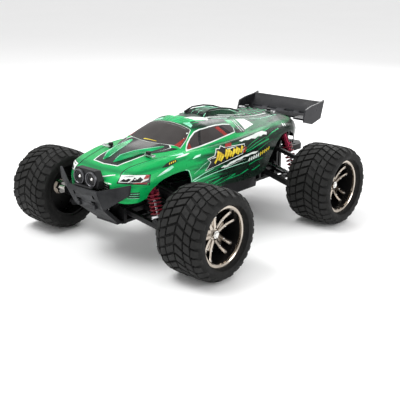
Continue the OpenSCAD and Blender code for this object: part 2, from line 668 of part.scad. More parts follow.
// A thin bar across the truck from -half to half, used as an edge of a folded plate.
module edge(half, y, z, t = 2.6) {
    translate([-half, y, z]) cube([2 * half, t, t]);
}
module corner(p, t = 2.6) { translate(p) cube([0.1, t, t]); }
module front_bumper() {
    color([0.16, 0.16, 0.17]) difference() {
        union() {
            hull() { edge(21.5, -170, 73.5); edge(20.5, -162, 55.5); }
            hull() { edge(20.5, -162, 55.5); edge(15, -138, floor_z + 0.2); }
            both() hull() {
                corner([20.4, -170, 73.5]);
                corner([20.4, -162, 55.5]);
                corner([49.7, -155, 82]);
                corner([48, -155.5, 74]);
            }
            // arms back to the chassis
            box([-15, -140, floor_z + 0.2], [15, -135.2, floor_z + 2.8]);
            both() box([9, -166, 56], [13, -133.2, 60]);
            both() box([9, -136, 54], [13, -133.2, 66]);
        }
        for (x = [-14, 7]) box([x, -180, 61], [x + 7, -140, 63.4]);
        for (x = [-15, 12.4]) box([x, -180, 66.5], [x + 2.6, -140, 70.5]);
    }
}
module bumper_lamps() {
    color([0.13, 0.13, 0.14]) difference() {
        union() {
            xz_plate(-165, -156.3) polygon([[-17, 76.3], [17, 76.3], [18, 84], [13, 93.5],
                [-13, 93.5], [-18, 84]]);
            // foot on the bumper's upper edge
            box([-12, -169, 76.3], [12, -164.5, 78.3]);
        }
        for (x = [-8.5, 8.5]) ybar(x, 84.5, -166, -158.3, 6);
    }
    color([0.85, 0.85, 0.88]) for (x = [-8.5, 8.5]) ybar(x, 84.5, -164, -158.31, 5.95);
}
module rear_bumper() {
    color([0.1, 0.1, 0.11]) {
        difference() {
            translate([0, 0, 58]) linear_extrude(7) difference() {
                polygon([[-24, 118], [24, 118], [33, 136], [33, 150], [24, 160], [-24, 160],
                         [-33, 150], [-33, 136]]);
                polygon([[-18, 123], [18, 123], [22, 134], [22, 148], [18, 153], [-18, 153],
                         [-22, 148], [-22, 134]]);
            }
            for (x = [-27.5, 27.5]) translate([x, 142, 50]) cylinder(h = 20, r = 2);
        }
        // stays down to the chassis floor
        both() box([17, 119, floor_z + floor_t], [23, 123, 58.01]);
    }
}
module rear_wing() {
    color([0.1, 0.1, 0.11]) {
        difference() {
            union() {
                hull() { edge(34, 142.6, 96.6, 2); edge(34, 147, 99, 2); }
                both() hull() {
                    translate([33, 130, 98]) cube([16, 2, 2]);
                    translate([33, 147, 99]) cube([16, 2, 2]);
                }
                hull() { edge(49, 147, 99, 2); edge(49, 157, 105.5, 2); }
                hull() { edge(49, 157, 105.5, 2); edge(49, 162.5, 114.3, 2); }
            }
            for (x = [-42, -20, 6, 28]) box([x, 149, 90], [x + 14, 152, 120]);
        }
        both() yz_plate(48.5, 50.5) polygon([[127, 100.5], [128, 96.2], [144.6, 91.6],
            [163.4, 96], [170, 117.6], [162, 115.8], [141.6, 113.7], [131, 111]]);
        // feet on the tail of the body
        both() box([17, 141, 87.5], [20, 144.6, 97.5]);
    }
}

// The body is held by a clip through each of four posts, [x, y].
front_post = [27, -107];
rear_post = [16, 103.3];
post_r = 2.5;
clip_z = [100, 109.6];                  // underside of a clip, front and rear

// Half sections of the body, front to back: [y, sill half width, sill z, widest half width,
// its z, shoulder half width, its z, centre z].
lower_body = [
    [-155, 27, 64, 29, 74, 27, 82, 83],
    [-149, 38, 63, 41, 76, 36, 87, 89],
    [-141, 47, 64.5, 49, 78, 42, 91, 93.5],
    [-126, 50, 70, 52, 84, 43, 95, 97],
    [-104, 51, 72, 53, 87, 43, 98.5, 100.5],
    [-78, 51, 62, 54, 88, 45, 98.5, 103],
    [-44, 51, 56, 55, 88, 46, 98.5, 103],
    [-4, 51, 52, 55, 88, 46, 98.5, 103],
    [31, 50, 51, 54, 88, 45, 99, 104],
    [71, 48, 60, 51, 90, 38, 101, 108],
    [97, 46, 62, 48, 92, 33, 103, 108],
    [118, 41, 68, 43, 91, 31, 101, 106],
    [131, 34, 71, 36, 89, 29, 98, 102],
    [141, 28, 73, 30, 86, 26, 94, 97]];
// Cabin and rear deck: [y, base half width, base z, top half width, top z, centre z].
cabin = [
    [-82, 38, 100, 35, 103, 105],
    [-48, 44, 98, 28, 115.5, 119],
    [-29, 45, 98, 33, 118, 123.5],
    [1, 44, 98, 32, 116.5, 122.5],
    [31, 42, 99, 28, 113, 117.5],
    [71, 36, 101, 26, 109, 112.5],
    [104, 31, 101, 26, 107, 110.5],
    [126, 28, 98, 25, 102.5, 105]];
module slice(y, half) {
    pts = concat(half, [for (i = [len(half) - 1:-1:0]) [-half[i][0], half[i][1]]]);
    translate([0, y, 0]) rotate([90, 0, 0]) linear_extrude(0.02) polygon(pts);
}
module lower_slice(s, t) {
    drop = t > 0 ? 25 : 0;
    slice(s[0], [[s[1] - t, s[2] - drop], [s[3] - t, s[4]], [s[5] - t, s[6] - t], [0.01, s[7] - t]]);
}
module cabin_slice(s, t) {
    slice(s[0], [[s[1] - t, s[2] - 4], [s[3] - t, s[4] - t], [0.01, s[5] - t]]);
}
// The inner loft stops short of both ends, so that the nose and the tail have walls.
function pull_in(list, t) = [for (i = [0:len(list) - 1])
    concat([list[i][0] + (i == 0 ? t : i == len(list) - 1 ? -t : 0)],
           [for (k = [1:len(list[i]) - 1]) list[i][k]])];
module body_loft(t) {
    low = pull_in(lower_body, t);
    for (i = [0:len(low) - 2]) hull() { lower_slice(low[i], t); lower_slice(low[i + 1], t); }
    for (i = [0:len(cabin) - 2]) hull() { cabin_slice(cabin[i], t); cabin_slice(cabin[i + 1], t); }
}
module body_shell() {
    color([0.05, 0.55, 0.3]) {
        difference() {
            body_loft(0);
            body_loft(shell_t);
            // wheel arches
            yz_plate(-80, 80) polygon([[-133, 40], [-133, 66], [-126, 75.6], [-112, 82],
                [-89, 84.5], [-79, 83], [-72, 68], [-70, 40]]);
            yz_plate(-80, 80) polygon([[44, 40], [63, 68], [75, 83.5], [87, 89.5], [108, 89.5],
                [120, 81], [127, 68], [127, 40]]);
            for (p = [front_post, rear_post]) both() translate([p[0], p[1], 60])
                cylinder(h = 70, r = post_r + 0.4, $fn = 24);
        }
        // roof rails and scoop
        both() hull() {
            translate([11, -34, 117]) cube([2, 2, 5]);
            translate([12, -14, 119]) cube([2, 2, 10.8]);
            translate([13, 14, 117]) cube([2, 2, 9]);
        }
        hull() {
            translate([-8, -30, 121]) cube([16, 2, 2.4]);
            translate([-9, -12, 121]) cube([18, 20, 5]);
        }
    }
}
// A flat bent clip: a straight leg through the post and a bowed leg round its side.
clip_t = 1.3;
module body_clip(at, z) {
    translate([at[0], at[1], z]) linear_extrude(clip_t) difference() {
        union() {
            translate([-4.5, -clip_t / 2]) square([12.5, clip_t]);
            translate([-2.5, -3.4 - clip_t / 2]) square([10.5, clip_t]);
            translate([8, -1.7]) circle(r = 1.7 + clip_t / 2);
        }
        translate([8, -1.7]) circle(r = 1.7 - clip_t / 2);
        translate([0, -3.4 + clip_t / 2]) square([8, 3.4 - clip_t]);
    }
}
module body_clips() {
    color([0.8, 0.8, 0.82]) both() {
        body_clip(front_post, clip_z[0]);
        body_clip(rear_post, clip_z[1]);
    }
}
// A post with a hole for its clip.
module body_post(at, z0, z1, hole_z) {
    difference() {
        translate([at[0], at[1], z0]) cylinder(h = z1 - z0, r = post_r);
        box([at[0] - 4, at[1] - 0.8, hole_z - 0.1], [at[0] + 4, at[1] + 0.8, hole_z + clip_t + 0.1]);
    }
}
module screw(at, r = 1.9) { translate(at) cylinder(h = 1.6, r = r); }
module screws() {
    color([0.3, 0.3, 0.32]) {
        // chassis floor, under the bulkheads, with sunk heads
        for (p = floor_screws) both() screw([p[0], p[1], floor_z]);
        // control box lid and servo
        for (p = [[-32, -50], [2, -50], [-32, -14], [2, -14]]) screw([p[0], p[1], 53]);
        // link bridge on the gearbox
        both() screw([8, rear_y + 12, 86]);
    }
}

// ---------- selection ----------

chassis_tub();
battery_pack();
battery_door();
power_switch();
control_box();
steering_servo();
servo_horn();
steering_rack();
drive_motor();
motor_pinion();
diff_gear();
gearbox_case();
gearbox_cover();
front_shock_tower();
rear_shock_tower();
front_bumper();
bumper_lamps();
rear_bumper();
body_shell();
body_clips();
rear_wing();
screws();
for (s = ["left", "right"]) {
    front_arm(s);
    front_link(s);
    caster_block(s);
    steering_knuckle(s);
    tie_rod(s);
    rear_arm(s);
    rear_link(s);
    rear_hub(s);
    drive_dogbone(s);
    for (e = ["front", "rear"]) {
        shock_body(e, s);
        shock_rod(e, s);
        spring(e, s);
        rim(e, s);
        tyre(e, s);
    }
}
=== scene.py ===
import json
import math

import bmesh
import bpy
from mathutils import Matrix, Vector, geometry
from mathutils.bvhtree import BVHTree


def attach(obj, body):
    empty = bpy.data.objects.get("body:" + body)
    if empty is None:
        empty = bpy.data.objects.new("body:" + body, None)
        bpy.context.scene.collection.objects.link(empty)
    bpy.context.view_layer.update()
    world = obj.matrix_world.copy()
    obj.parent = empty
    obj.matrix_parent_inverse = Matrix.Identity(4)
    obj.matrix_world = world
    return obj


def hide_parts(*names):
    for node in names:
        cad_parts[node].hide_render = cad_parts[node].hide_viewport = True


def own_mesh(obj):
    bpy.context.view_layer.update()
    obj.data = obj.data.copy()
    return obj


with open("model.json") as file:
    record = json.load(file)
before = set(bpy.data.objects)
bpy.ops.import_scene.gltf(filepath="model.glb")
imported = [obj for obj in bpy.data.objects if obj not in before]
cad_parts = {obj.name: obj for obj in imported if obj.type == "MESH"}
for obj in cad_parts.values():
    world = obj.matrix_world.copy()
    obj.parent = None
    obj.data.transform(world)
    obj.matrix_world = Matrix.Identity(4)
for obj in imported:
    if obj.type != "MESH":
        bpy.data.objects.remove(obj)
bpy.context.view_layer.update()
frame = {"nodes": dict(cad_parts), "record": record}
NODES = frame["nodes"]
MM = 0.001
SIDES = {"left": 1, "right": -1}

# ---------- camera ----------

cam_data = bpy.data.cameras.new("camera")
cam_data.lens = 66.4
cam_data.sensor_width = 36
camera = bpy.data.objects.new("camera", cam_data)
camera.location = (0.52153, -0.59431, 0.28445)
camera.rotation_euler = (math.radians(71.6), 0, math.radians(41.3))
bpy.context.scene.collection.objects.link(camera)
bpy.context.scene.camera = camera
bpy.context.scene.view_settings.view_transform = "Standard"


class Graph:
    """Short names for building a material's nodes."""

    def __init__(self, name):
        self.material = bpy.data.materials.new(name)
        self.material.use_nodes = True
        self.tree = self.material.node_tree
        self.shader = self.tree.nodes["Principled BSDF"]
        self.coords = self.tree.nodes.new("ShaderNodeTexCoord").outputs["Object"]

    def put(self, value, socket):
        if isinstance(value, bpy.types.NodeSocket):
            self.tree.links.new(value, socket)
        elif value is not None:
            socket.default_value = value

    def math(self, op, a, b=None, c=None, clamp=False):
        n = self.tree.nodes.new("ShaderNodeMath")
        n.operation = op
        n.use_clamp = clamp
        for i, v in enumerate((a, b, c)):
            self.put(v, n.inputs[i])
        return n.outputs[0]

    def mul(self, a, b):
        return self.math("MULTIPLY", a, b)

    def add(self, a, b, clamp=False):
        return self.math("ADD", a, b, clamp=clamp)

    def size(self, a):
        return self.math("ABSOLUTE", a)

    def mix(self, factor, a, b, blend="MIX"):
        n = self.tree.nodes.new("ShaderNodeMix")
        n.data_type = "RGBA"
        n.blend_type = blend
        self.put(factor, n.inputs["Factor"])
        for value, socket in ((a, n.inputs["A"]), (b, n.inputs["B"])):
            sockets = [s for s in n.inputs if s.name == socket.name and s.type == "RGBA"]
            self.put(rgba(value), sockets[0])
        return [s for s in n.outputs if s.type == "RGBA"][0]

    def range(self, value, lo, hi, out_lo=0.0, out_hi=1.0, smooth=False):
        n = self.tree.nodes.new("ShaderNodeMapRange")
        n.interpolation_type = "SMOOTHSTEP" if smooth else "LINEAR"
        for i, v in enumerate((value, lo, hi, out_lo, out_hi)):
            self.put(v, n.inputs[i])
        return n.outputs[0]

    def mapped(self, scale=(1, 1, 1), rotation=(0, 0, 0)):
        n = self.tree.nodes.new("ShaderNodeMapping")
        n.inputs["Scale"].default_value = scale
        n.inputs["Rotation"].default_value = rotation
        self.put(self.coords, n.inputs["Vector"])
        return n.outputs[0]

    def noise(self, scale, detail=3.0, vector=None, rough=0.55):
        n = self.tree.nodes.new("ShaderNodeTexNoise")
        n.inputs["Scale"].default_value = scale
        n.inputs["Detail"].default_value = detail
        n.inputs["Roughness"].default_value = rough
        self.put(self.coords if vector is None else vector, n.inputs["Vector"])
        return n.outputs["Fac"]

    def mottle(self, scale, detail, lo, hi):
        """Noise stretched to run from lo to hi."""
        return self.range(self.noise(scale, detail), 0.3, 0.7, lo, hi)

    def xyz(self):
        n = self.tree.nodes.new("ShaderNodeSeparateXYZ")
        self.put(self.coords, n.inputs[0])
        return n.outputs

    def ramp(self, value, stops):
        n = self.tree.nodes.new("ShaderNodeValToRGB")
        n.color_ramp.elements.remove(n.color_ramp.elements[1])
        for i, (at, colour) in enumerate(stops):
            e = n.color_ramp.elements[0] if i == 0 else n.color_ramp.elements.new(at)
            e.position = at
            e.color = rgba(colour)
        self.put(value, n.inputs[0])
        return n.outputs["Color"]

    def bump(self, height, strength, distance=0.0002):
        n = self.tree.nodes.new("ShaderNodeBump")
        n.inputs["Strength"].default_value = strength
        n.inputs["Distance"].default_value = distance
        self.put(height, n.inputs["Height"])
        self.tree.links.new(n.outputs[0], self.shader.inputs["Normal"])

    def film(self, colour, rough, grains, relief, coat=(0.12, 0.08), specular=0.25):
        """A thin layer: uneven roughness, a faint coat and a fine grain."""
        self.set(Base_Color=colour, Roughness=self.mottle(grains[0], 2, *rough))
        self.set(Coat_Weight=coat[0], Coat_Roughness=coat[1], Specular_IOR_Level=specular)
        self.bump(self.noise(grains[1], 2), relief)

    def set(self, **values):
        for name, value in values.items():
            self.put(value, self.shader.inputs[name.replace("_", " ")])


def rgba(value):
    if isinstance(value, (tuple, list)) and len(value) == 3:
        return (*value, 1.0)
    return value


def moulded(name, dark, light, rough=(0.4, 0.6), blotch=40, grain=1600, relief=0.25, wear=0.0, **sockets):
    """A surface whose tone and roughness vary, with a fine grain and paler worn edges."""
    g = Graph(name)
    tone = g.range(g.noise(blotch, 4), 0.3, 0.7)
    colour = g.mix(tone, dark, light)
    if wear:
        geo = g.tree.nodes.new("ShaderNodeNewGeometry")
        edge = g.range(geo.outputs["Pointiness"], 0.52, 0.6, 0, wear)
        colour = g.mix(edge, colour, [min(1, 2.5 * c + 0.015) for c in light])
    g.set(Base_Color=colour, Roughness=g.mottle(blotch * 3, 3, *rough))
    g.set(Specular_IOR_Level=0.2)
    g.set(**sockets)
    g.bump(g.noise(grain, 2), relief)
    return g.material


def brushed(name, dark, light, rough=(0.2, 0.35), stretch=(1, 1, 40), **sockets):
    """A metal with fine drawn lines along one axis."""
    g = Graph(name)
    lines = g.noise(60, 4, g.mapped(scale=stretch))
    g.set(Base_Color=g.mix(lines, dark, light), Metallic=1.0)
    g.set(Roughness=g.range(lines, 0.3, 0.7, *rough))
    g.set(**sockets)
    g.bump(lines, 0.12, 0.0001)
    return g.material


BLACK = moulded("black_plastic", (0.003, 0.003, 0.0035), (0.009, 0.009, 0.01), (0.32, 0.5), wear=0.5)
ARM = moulded("arm_plastic", (0.004, 0.004, 0.004), (0.012, 0.012, 0.013), (0.28, 0.46), wear=0.6)
GRAINED = moulded("bumper_plastic", (0.008, 0.0085, 0.01), (0.024, 0.025, 0.027), (0.45, 0.7),
    blotch=90, grain=900, relief=0.6, wear=0.5)
WING = moulded("wing_plastic", (0.006, 0.006, 0.007), (0.02, 0.02, 0.023), (0.25, 0.4), wear=0.6)
DARK_BOX = moulded("electronics_plastic", (0.02, 0.02, 0.022), (0.05, 0.05, 0.055), (0.35, 0.5))
WRAP = moulded("battery_wrap", (0.01, 0.04, 0.2), (0.03, 0.1, 0.36), (0.15, 0.3), grain=300, relief=0.2)
STEEL = brushed("bright_steel", (0.45, 0.45, 0.46), (0.75, 0.75, 0.77))
DARK_STEEL = brushed("dark_steel", (0.06, 0.06, 0.065), (0.16, 0.16, 0.17), (0.3, 0.45))
BRASS = brushed("pinion_brass", (0.5, 0.33, 0.1), (0.8, 0.6, 0.3), stretch=(1, 40, 1))
CAN = brushed("motor_can", (0.4, 0.4, 0.42), (0.7, 0.7, 0.72), stretch=(1, 30, 30))
ANODISED = brushed("shock_anodised", (0.07, 0.006, 0.014), (0.17, 0.016, 0.036), (0.18, 0.32),
    stretch=(20, 20, 1))
SPRING_RED = moulded("spring_enamel", (0.13, 0.006, 0.014), (0.26, 0.012, 0.026), (0.25, 0.4),
    blotch=200, relief=0.1, Specular_IOR_Level=0.35)
RUBBER = moulded("tyre_rubber", (0.003, 0.003, 0.003), (0.01, 0.01, 0.0095), (0.55, 0.8),
    blotch=120, grain=700, relief=0.35, wear=0.25)
SMOKED = brushed("smoked_chrome", (0.3, 0.25, 0.2), (0.68, 0.62, 0.55), (0.12, 0.22), stretch=(30, 1, 1))
BARREL = moulded("rim_barrel", (0.002, 0.002, 0.002), (0.007, 0.007, 0.007), (0.25, 0.4))
CHROME = brushed("bright_chrome", (0.6, 0.58, 0.55), (0.85, 0.84, 0.82), (0.05, 0.12))

BRIGHT = (0.0, 0.37, 0.085)
MIDDLE = (0.0, 0.15, 0.045)
DEEP = (0.0008, 0.035, 0.013)
NIGHT = (0.0015, 0.004, 0.0025)
MINT = (0.28, 0.8, 0.5)


def body_paint():
    """Green at the front that runs through dark streaks into black at the rear of the sides."""
    g = Graph("body_paint")
    x, y, z = g.xyz()
    streaks = g.noise(9, 5, g.mapped(scale=(6, 2.2, 22), rotation=(math.radians(-24), 0, 0)), 0.6)
    wander = g.range(streaks, 0.3, 0.7, -0.42, 0.42)
    along = g.add(g.range(y, -0.085, 0.014), g.range(z, 0.05, 0.095, 0.18, -0.1))
    low = g.range(z, 0.1005, 0.0965)
    side = g.add(g.mul(along, low), g.mul(wander, low))
    upper = g.mul(g.range(streaks, 0.42, 0.62, 0, 0.42), g.range(y, -0.07, 0.0))
    deck = g.mul(g.range(y, 0.0, 0.04, 0.0, 0.5), g.range(z, 0.099, 0.103))
    roof = g.mul(g.range(y, -0.05, -0.044, 0.0, 0.6), g.range(z, 0.1135, 0.1165))
    deck = g.math("MAXIMUM", deck, roof)
    dark = g.add(side, g.add(upper, deck), clamp=True)
    colour = g.ramp(dark, [(0.0, BRIGHT), (0.34, MIDDLE), (0.62, DEEP), (0.86, NIGHT)])
    # the belt line of the front wing is darker, as if the paint were thin there
    belt = g.size(g.math("SUBTRACT", z, g.range(y, -0.15, -0.07, 0.0905, 0.0955)))
    shade = g.mul(g.range(belt, 0.0, 0.0022, 0.75, 0.0, smooth=True), g.range(y, -0.07, -0.078))
    colour = g.mix(shade, colour, MIDDLE)
    # the corners of the tail fade to a dusty silver
    tail = g.mul(g.range(y, 0.1, 0.135), g.range(z, 0.0965, 0.1005))
    tail = g.mul(tail, g.range(g.size(x), 0.0255, 0.0285))
    tail = g.mul(tail, g.range(g.noise(140, 4), 0.3, 0.6, 0.3, 0.75))
    colour = g.mix(tail, colour, (0.27, 0.27, 0.23))
    colour = g.mix(g.range(g.noise(900, 2), 0.35, 0.75, 0, 0.03), colour, MINT)
    g.set(Base_Color=colour, Metallic=0.12, Roughness=g.mottle(160, 3, 0.24, 0.36))
    g.set(Coat_Weight=0.08, Coat_Roughness=0.05, Specular_IOR_Level=0.15)
    g.bump(g.noise(60, 2), 0.03, 0.0004)
    return g.material


def film(name, dark, light):
    """A printed or painted patch on the shell: nearly even, with fine streaks."""
    g = Graph(name)
    streaks = g.noise(18, 4, g.mapped(scale=(5, 3, 20), rotation=(math.radians(-20), 0, 0)))
    colour = g.mix(g.range(streaks, 0.35, 0.65), dark, light)
    g.film(colour, (0.2, 0.32), (500, 500), 0.05, (0.12, 0.06), 0.22)
    return g.material


def smoke_window():
    """Smoked window film, greyer towards the top."""
    g = Graph("window_film")
    _, _, z = g.xyz()
    tone = g.add(g.range(z, 0.1, 0.12, 0.1, 0.8), g.mottle(60, 3, -0.15, 0.15))
    colour = g.mix(tone, (0.017, 0.013, 0.0125), (0.046, 0.04, 0.038))
    g.film(colour, (0.3, 0.42), (400, 900), 0.08, (0.1, 0.15))
    return g.material


def hood_centre():
    """Black at the nose and the sides, paling to grey under the windscreen."""
    g = Graph("hood_centre")
    x, y, _ = g.xyz()
    fade = g.add(g.range(y, -0.122, -0.088), g.mottle(70, 4, -0.12, 0.12))
    fade = g.mul(fade, g.range(g.size(x), 0.01, 0.019, 1.0, 0.1, smooth=True))
    colour = g.ramp(fade, [(0.0, (0.004, 0.005, 0.005)), (0.45, (0.022, 0.024, 0.024)),
        (1.0, (0.16, 0.16, 0.155))])
    g.film(colour, (0.25, 0.38), (300, 700), 0.06)
    return g.material


PAINT = body_paint()
WINDOW = smoke_window()
HOOD = hood_centre()
WHITE = film("white_film", (0.6, 0.66, 0.62), (0.86, 0.9, 0.87))
MINT_FILM = film("mint_film", (0.2, 0.68, 0.42), (0.5, 0.9, 0.7))
BLACK_FILM = film("black_film", (0.004, 0.005, 0.005), (0.012, 0.013, 0.013))
GREEN_FILM = film("green_film", (0.002, 0.24, 0.07), (0.006, 0.52, 0.16))
SMOKE_FILM = film("smoke_film", (0.06, 0.065, 0.062), (0.2, 0.21, 0.2))
RED_FILM = film("red_film", (0.2, 0.015, 0.012), (0.38, 0.03, 0.022))
YELLOW_FILM = film("yellow_film", (0.55, 0.36, 0.01), (0.82, 0.66, 0.05))

# ---------- mesh helpers (millimetres in, metres out) ----------


def piece(name, bm, material, body, slot, replaces=(), sharp=32):
    """Makes a mesh object from bm, in millimetres, and lets it ride on a body."""
    bmesh.ops.recalc_face_normals(bm, faces=bm.faces)
    limit = math.radians(sharp)
    for f in bm.faces:
        f.smooth = True
    for e in bm.edges:
        if len(e.link_faces) == 2 and e.calc_face_angle(0) > limit:
            e.smooth = False
    mesh = bpy.data.meshes.new(name)
    bm.to_mesh(mesh)
    bm.free()
    mesh.transform(Matrix.Scale(MM, 4))
    materials = material if isinstance(material, (list, tuple)) else [material]
    for m in materials:
        mesh.materials.append(m)
    obj = bpy.data.objects.new(name, mesh)
    bpy.context.scene.collection.objects.link(obj)
    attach(obj, body)
    if replaces:
        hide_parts(*replaces)
    return obj


def bevel(obj, width, angle, segments=2, **settings):
    """Rounds the edges that are sharper than an angle."""
    applied(obj, ("BEVEL", dict(width=width * MM, segments=segments, limit_method="ANGLE",
        angle_limit=math.radians(angle), **settings)))


def on_body(name, bm, material, sharp=32):
    """A piece of the painted shell."""
    return piece(name, bm, material, "chassis", "body_paint", sharp=sharp)


def applied(obj, *modifiers):
    """Adds modifiers given as (type, settings), and bakes them into the mesh."""
    for kind, settings in modifiers:
        m = obj.modifiers.new(kind.lower(), kind)
        for k, v in settings.items():
            setattr(m, k, v)
    bpy.context.view_layer.update()
    graph = bpy.context.evaluated_depsgraph_get()
    mesh = bpy.data.meshes.new_from_object(obj.evaluated_get(graph))
    mesh.name = obj.name
    obj.modifiers.clear()
    obj.data = mesh
    return obj


def quads(bm, rows, close_u=False, close_v=False):
    """Faces between rows of points; close_u joins the last row to the first, close_v each row's ends."""
    grid = [[bm.verts.new(p) for p in row] for row in rows]
    nu, nv = len(grid), len(grid[0])
    for i in range(nu if close_u else nu - 1):
        for j in range(nv if close_v else nv - 1):
            a, b = grid[i], grid[(i + 1) % nu]
            bm.faces.new((a[j], a[(j + 1) % nv], b[(j + 1) % nv], b[j]))
    return grid


def turned(bm, profile, segments=64, centre=(0, 0, 0), axis="X", closed=True):
    """A solid of revolution. profile holds (along, radius) points."""
    rows = []
    for i in range(segments):
        a = 2 * math.pi * i / segments
        c, s = math.cos(a), math.sin(a)
        row = []
        for u, r in profile:
            p = {"X": (u, r * c, r * s), "Y": (r * s, u, r * c), "Z": (r * c, r * s, u)}[axis]
            row.append(Vector(centre) + Vector(p))
        rows.append(row)
    return quads(bm, rows, close_u=True, close_v=closed)


def prism(bm, outline, lo, hi, axis="Z"):
    """A prism of a 2D outline between lo and hi along an axis."""
    def at(p, w):
        return {"X": (w, p[0], p[1]), "Y": (p[0], w, p[1]), "Z": (p[0], p[1], w)}[axis]
    low = [bm.verts.new(at(p, lo)) for p in outline]
    high = [bm.verts.new(at(p, hi)) for p in outline]
    n = len(outline)
    bm.faces.new(low)
    bm.faces.new(high[::-1])
    for i in range(n):
        bm.faces.new((low[i], high[i], high[(i + 1) % n], low[(i + 1) % n]))
    return low + high


def hexagon(radius):
    return [(radius * math.cos(k * math.pi / 3), radius * math.sin(k * math.pi / 3)) for k in range(6)]


def block(bm, lo, hi):
    return prism(bm, [(lo[0], lo[1]), (hi[0], lo[1]), (hi[0], hi[1]), (lo[0], hi[1])], lo[2], hi[2])


def tube(bm, points, radius, sides=8):
    """A round bar along points."""
    points = [Vector(p) for p in points]
    rows = []
    up = Vector((0.013, 0.021, 1)).normalized()
    for i, p in enumerate(points):
        t = (points[min(len(points) - 1, i + 1)] - points[max(0, i - 1)]).normalized()
        side = t.cross(up).normalized()
        over = side.cross(t).normalized()
        turns = [2 * math.pi * k / sides for k in range(sides)]
        rows.append([p + radius * (math.cos(a) * side + math.sin(a) * over) for a in turns])
    grid = quads(bm, rows, close_v=True)
    for ring in (grid[0], grid[-1][::-1]):
        bm.faces.new(ring)


def soften(node, material, body, slot, width):
    """A copy of a CAD node with rounded edges, which stands for the node."""
    source = NODES[node]
    bm = bmesh.new()
    bm.from_mesh(source.data)
    bmesh.ops.scale(bm, vec=(1000, 1000, 1000), verts=bm.verts)
    bmesh.ops.remove_doubles(bm, verts=bm.verts, dist=0.0005)
    bmesh.ops.dissolve_limit(bm, angle_limit=math.radians(1), verts=bm.verts, edges=bm.edges)
    for f in bm.faces:
        f.material_index = 0
    obj = piece(node + "_look", bm, material, body, slot, [node])
    bevel(obj, width, 40, harden_normals=True, miter_outer="MITER_ARC")
    return obj


def bezier_corner(a, b, c, reach):
    """Three points that round the corner at b."""
    ab, bc = (b - a).length, (c - b).length
    d0, d1 = min(reach, 0.42 * ab), min(reach, 0.42 * bc)
    p0, p1 = b + (a - b).normalized() * d0, b + (c - b).normalized() * d1
    return [p0, 0.25 * p0 + 0.5 * b + 0.25 * p1, p1]


# ---------- painted shell ----------

# half sections, mm: y, then (x, z) of sill, belt, shoulder, valley, base, roof edge, roof, centre
SHELL = [
    (-155, (27, 64), (29, 73), (27, 81), (21, 82.4), (15, 82.9), (9, 83.2), (4, 83.3), (0, 83.4)),
    (-149, (38, 63), (41, 75), (36.5, 86), (27, 88), (18, 88.6), (11, 89), (5, 89.3), (0, 89.4)),
    (-141, (47, 64.5), (49, 77), (42.5, 90.6), (31, 92.4), (18, 93), (11, 93.3), (5, 93.6), (0, 93.7)),
    (-126, (50, 69), (52.5, 83), (43.5, 95), (33, 95.6), (20, 96.4), (12, 96.9), (6, 97.2), (0, 97.4)),
    (-104, (51, 72), (54, 87), (44.5, 98.6), (36, 98.2), (27, 99.2), (16, 100.2), (8, 100.7), (0, 100.9)),
    (-84, (51, 66), (54.5, 88), (45.5, 98.9), (41, 99.2), (38.5, 100.3), (25, 102.4), (12, 103.4), (0,
    103.8)),
    (-74, (51, 61), (54.8, 88), (46, 98.7), (43, 99.2), (40, 100.6), (34.5, 104.4), (17, 106.2), (0,
    106.8)),
    (-48, (51, 57), (55, 88), (47, 98.2), (45.6, 98.6), (44.2, 100.2), (29, 115.2), (15, 118.6), (0,
    119.4)),
    (-29, (51, 55), (55, 88), (47.5, 98.2), (46.2, 98.6), (45, 100.2), (33, 117.4), (17, 121.4), (0,
    122.6)),
    (1, (51, 53), (55, 88), (47.5, 98.4), (46, 98.9), (44.6, 100.4), (32, 116.2), (16, 120.6), (0, 121.8)),
    (31, (50.5, 51.5), (54.2, 88), (46, 99), (44.4, 99.6), (42.4, 101), (29, 113), (15, 116.6), (0, 117.6)),
    (71, (48, 58), (51.5, 90), (40, 101.3), (38.4, 102), (37, 103), (27, 109.4), (14, 112), (0, 112.8)),
    (97, (46, 62), (48.5, 92), (36, 103), (34.4, 103.6), (33, 104.2), (26.4, 107.8), (13, 110.2), (0,
    110.8)),
    (118, (41, 67), (43.5, 91), (32, 101), (30.6, 101.6), (29.4, 102.2), (25.4, 104.4), (13, 106.6),
    (0, 107.2)),
    (131, (34, 71), (37, 89), (29.5, 97.8), (28, 98.3), (26.6, 98.8), (23, 100.2), (12, 102), (0, 102.6)),
    (141, (28, 73), (31, 86), (26.5, 93.8), (25, 94.4), (23.6, 94.8), (20, 95.4), (10, 96.6), (0, 97)),
]
CORNER_REACH = [0, 7, 2.6, 1.1, 1.1, 3.2, 6, 0]
COLUMNS = [7, 4, 2, 1, 5, 4, 4]
ARCHES = [
    [(-133, 40), (-133, 66), (-130.5, 71.5), (-126, 75.6), (-119, 79.5), (-112, 82), (-100, 84),
    (-89, 84.5), (-83, 84.3), (-79, 83), (-74.5, 75), (-72, 68), (-70, 40)],
    [(44, 40), (63, 68), (69, 76.5), (75, 83.5), (81, 87), (87, 89.5), (98, 90.4), (108, 89.5), (114.5, 86),
    (120, 81), (124.5, 75), (127, 68), (127, 40)],
]
POSTS = [(27, -107), (16, 103.3)]
SHELL_THICKNESS = 1.1


